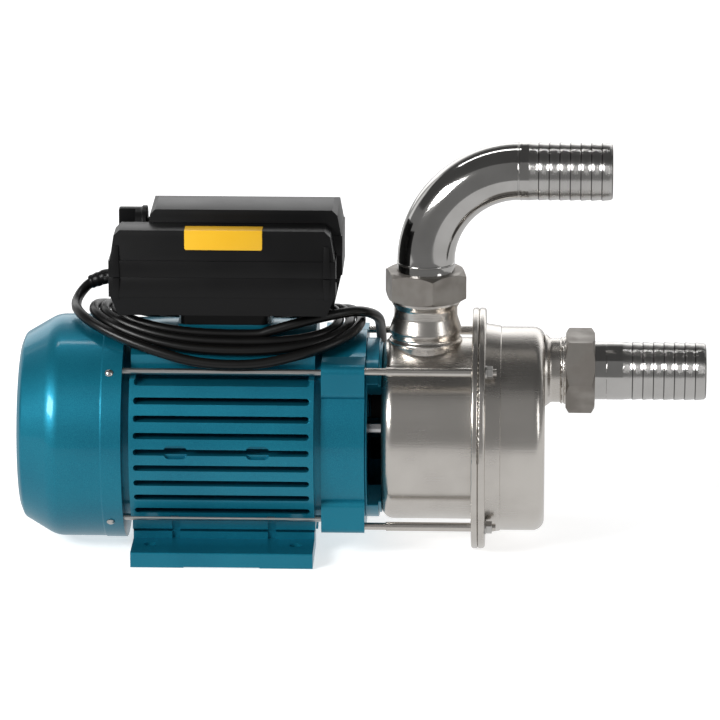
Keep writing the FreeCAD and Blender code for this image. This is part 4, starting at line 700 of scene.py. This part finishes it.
def ring(name, place, axis, radius, thick, flat):
    """A narrow raised ring round a tube."""
    bpy.ops.object.select_all(action="DESELECT")
    bpy.ops.mesh.primitive_torus_add(major_radius=radius, minor_radius=thick, major_segments=72,
                                     minor_segments=12, location=place)
    piece = bpy.context.object
    piece.name = piece.data.name = name
    open_edit(piece, "SELECT")
    bpy.ops.transform.resize(value=(1, 1, flat), center_override=place)
    close_edit()
    if axis == "X":
        piece.rotation_euler = (0, math.radians(90), 0)
    settle(piece)
    alone(piece)
    bpy.ops.object.shade_smooth_by_angle(angle=math.radians(60))
    return wear(piece, "polished_pipe")


elbow = bpy.data.objects["outlet_elbow_finished"]
join("outlet_elbow_finished", [elbow, ring("elbow_collar", (0.1378, 0, 0.1985), "Z", 0.0197, 0.0005, 1.4),
                               ring("elbow_weld", (0.2010, 0, 0.2632), "X", 0.0197, 0.0004, 1.5)])


# Strain relief of the cord, tapered and ribbed, on the cable gland

def strain_relief(name, path, thick):
    """A sleeve along the cord, with rings that grow smaller towards its end."""
    sleeve = bpy.data.curves.new(name, "CURVE")
    sleeve.dimensions = "3D"
    bend = sleeve.splines.new("NURBS")
    bend.points.add(len(path) - 1)
    for spot, place, radius in zip(bend.points, path, thick):
        spot.co = (*place, 1.0)
        spot.radius = radius
    bend.order_u = 3
    bend.use_endpoint_u = True
    sleeve.bevel_depth = 1.0
    sleeve.bevel_resolution = 8
    sleeve.resolution_u = 5
    sleeve.use_fill_caps = True
    piece = bpy.data.objects.new(name, sleeve)
    bpy.context.scene.collection.objects.link(piece)
    alone(piece)
    bpy.ops.object.convert(target="MESH")
    piece = bpy.context.object
    open_edit(piece, "SELECT")
    bpy.ops.mesh.remove_doubles(threshold=WELD_GAP)
    bpy.ops.mesh.normals_make_consistent(inside=False)
    close_edit()
    bpy.ops.object.shade_smooth_by_angle(angle=math.radians(50))
    return piece


SLEEVE_RADII = (0.0058, 0.0058, 0.0051, 0.0056, 0.0049, 0.0054,
                0.0047, 0.0052, 0.0045, 0.0049, 0.0045, 0.0041)
root, bend_point, tip = [Vector(point) for point in LEAD[:3]]
sleeve_path = [root.lerp(bend_point, share) for share in (-0.1, 0.2, 0.45, 0.7)]
sleeve_path += [bend_point.lerp(tip, share) for share in (-0.1, 0.1, 0.3, 0.5, 0.7, 0.85, 0.95, 1.0)]
relief = strain_relief("cord_strain_relief", sleeve_path, SLEEVE_RADII)
gland = bpy.data.objects["cable_gland_finished"]
wear(relief, "black_plastic")
join("cable_gland_finished", [gland, relief])


# Black plate inside the bracket, behind its far window: painted shade, a dark sheet for the dark seen
# through the window

SHADE_PLATE_SPAN = math.radians(45.5)
SHADE_PLATE_STEPS = 14
SHADE_PLATE_MIDDLE = (0.1, 0, SHAFT_Z)
plate = block("window_shade_plate", (0.0978, 0.0515, 0.0795), (0.1080, 0.0530, 0.0805))
open_edit(plate)
pick(plate, "FACE", lambda place, normal: normal.z > 0.9)
bpy.ops.mesh.spin(steps=SHADE_PLATE_STEPS, angle=-SHADE_PLATE_SPAN, center=SHADE_PLATE_MIDDLE, axis=(1, 0, 0))
pick(plate, "FACE", lambda place, normal: normal.z < -0.9 and abs(place.z - 0.0795) < 0.0001)
bpy.ops.mesh.spin(steps=SHADE_PLATE_STEPS, angle=SHADE_PLATE_SPAN, center=SHADE_PLATE_MIDDLE, axis=(1, 0, 0))
bpy.ops.mesh.select_all(action="SELECT")
bpy.ops.mesh.remove_doubles(threshold=0.00001)
bpy.ops.mesh.normals_make_consistent(inside=False)
close_edit()
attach(plate, "motor")
wear(soften(plate, 0.0002, 1), "black_plastic")
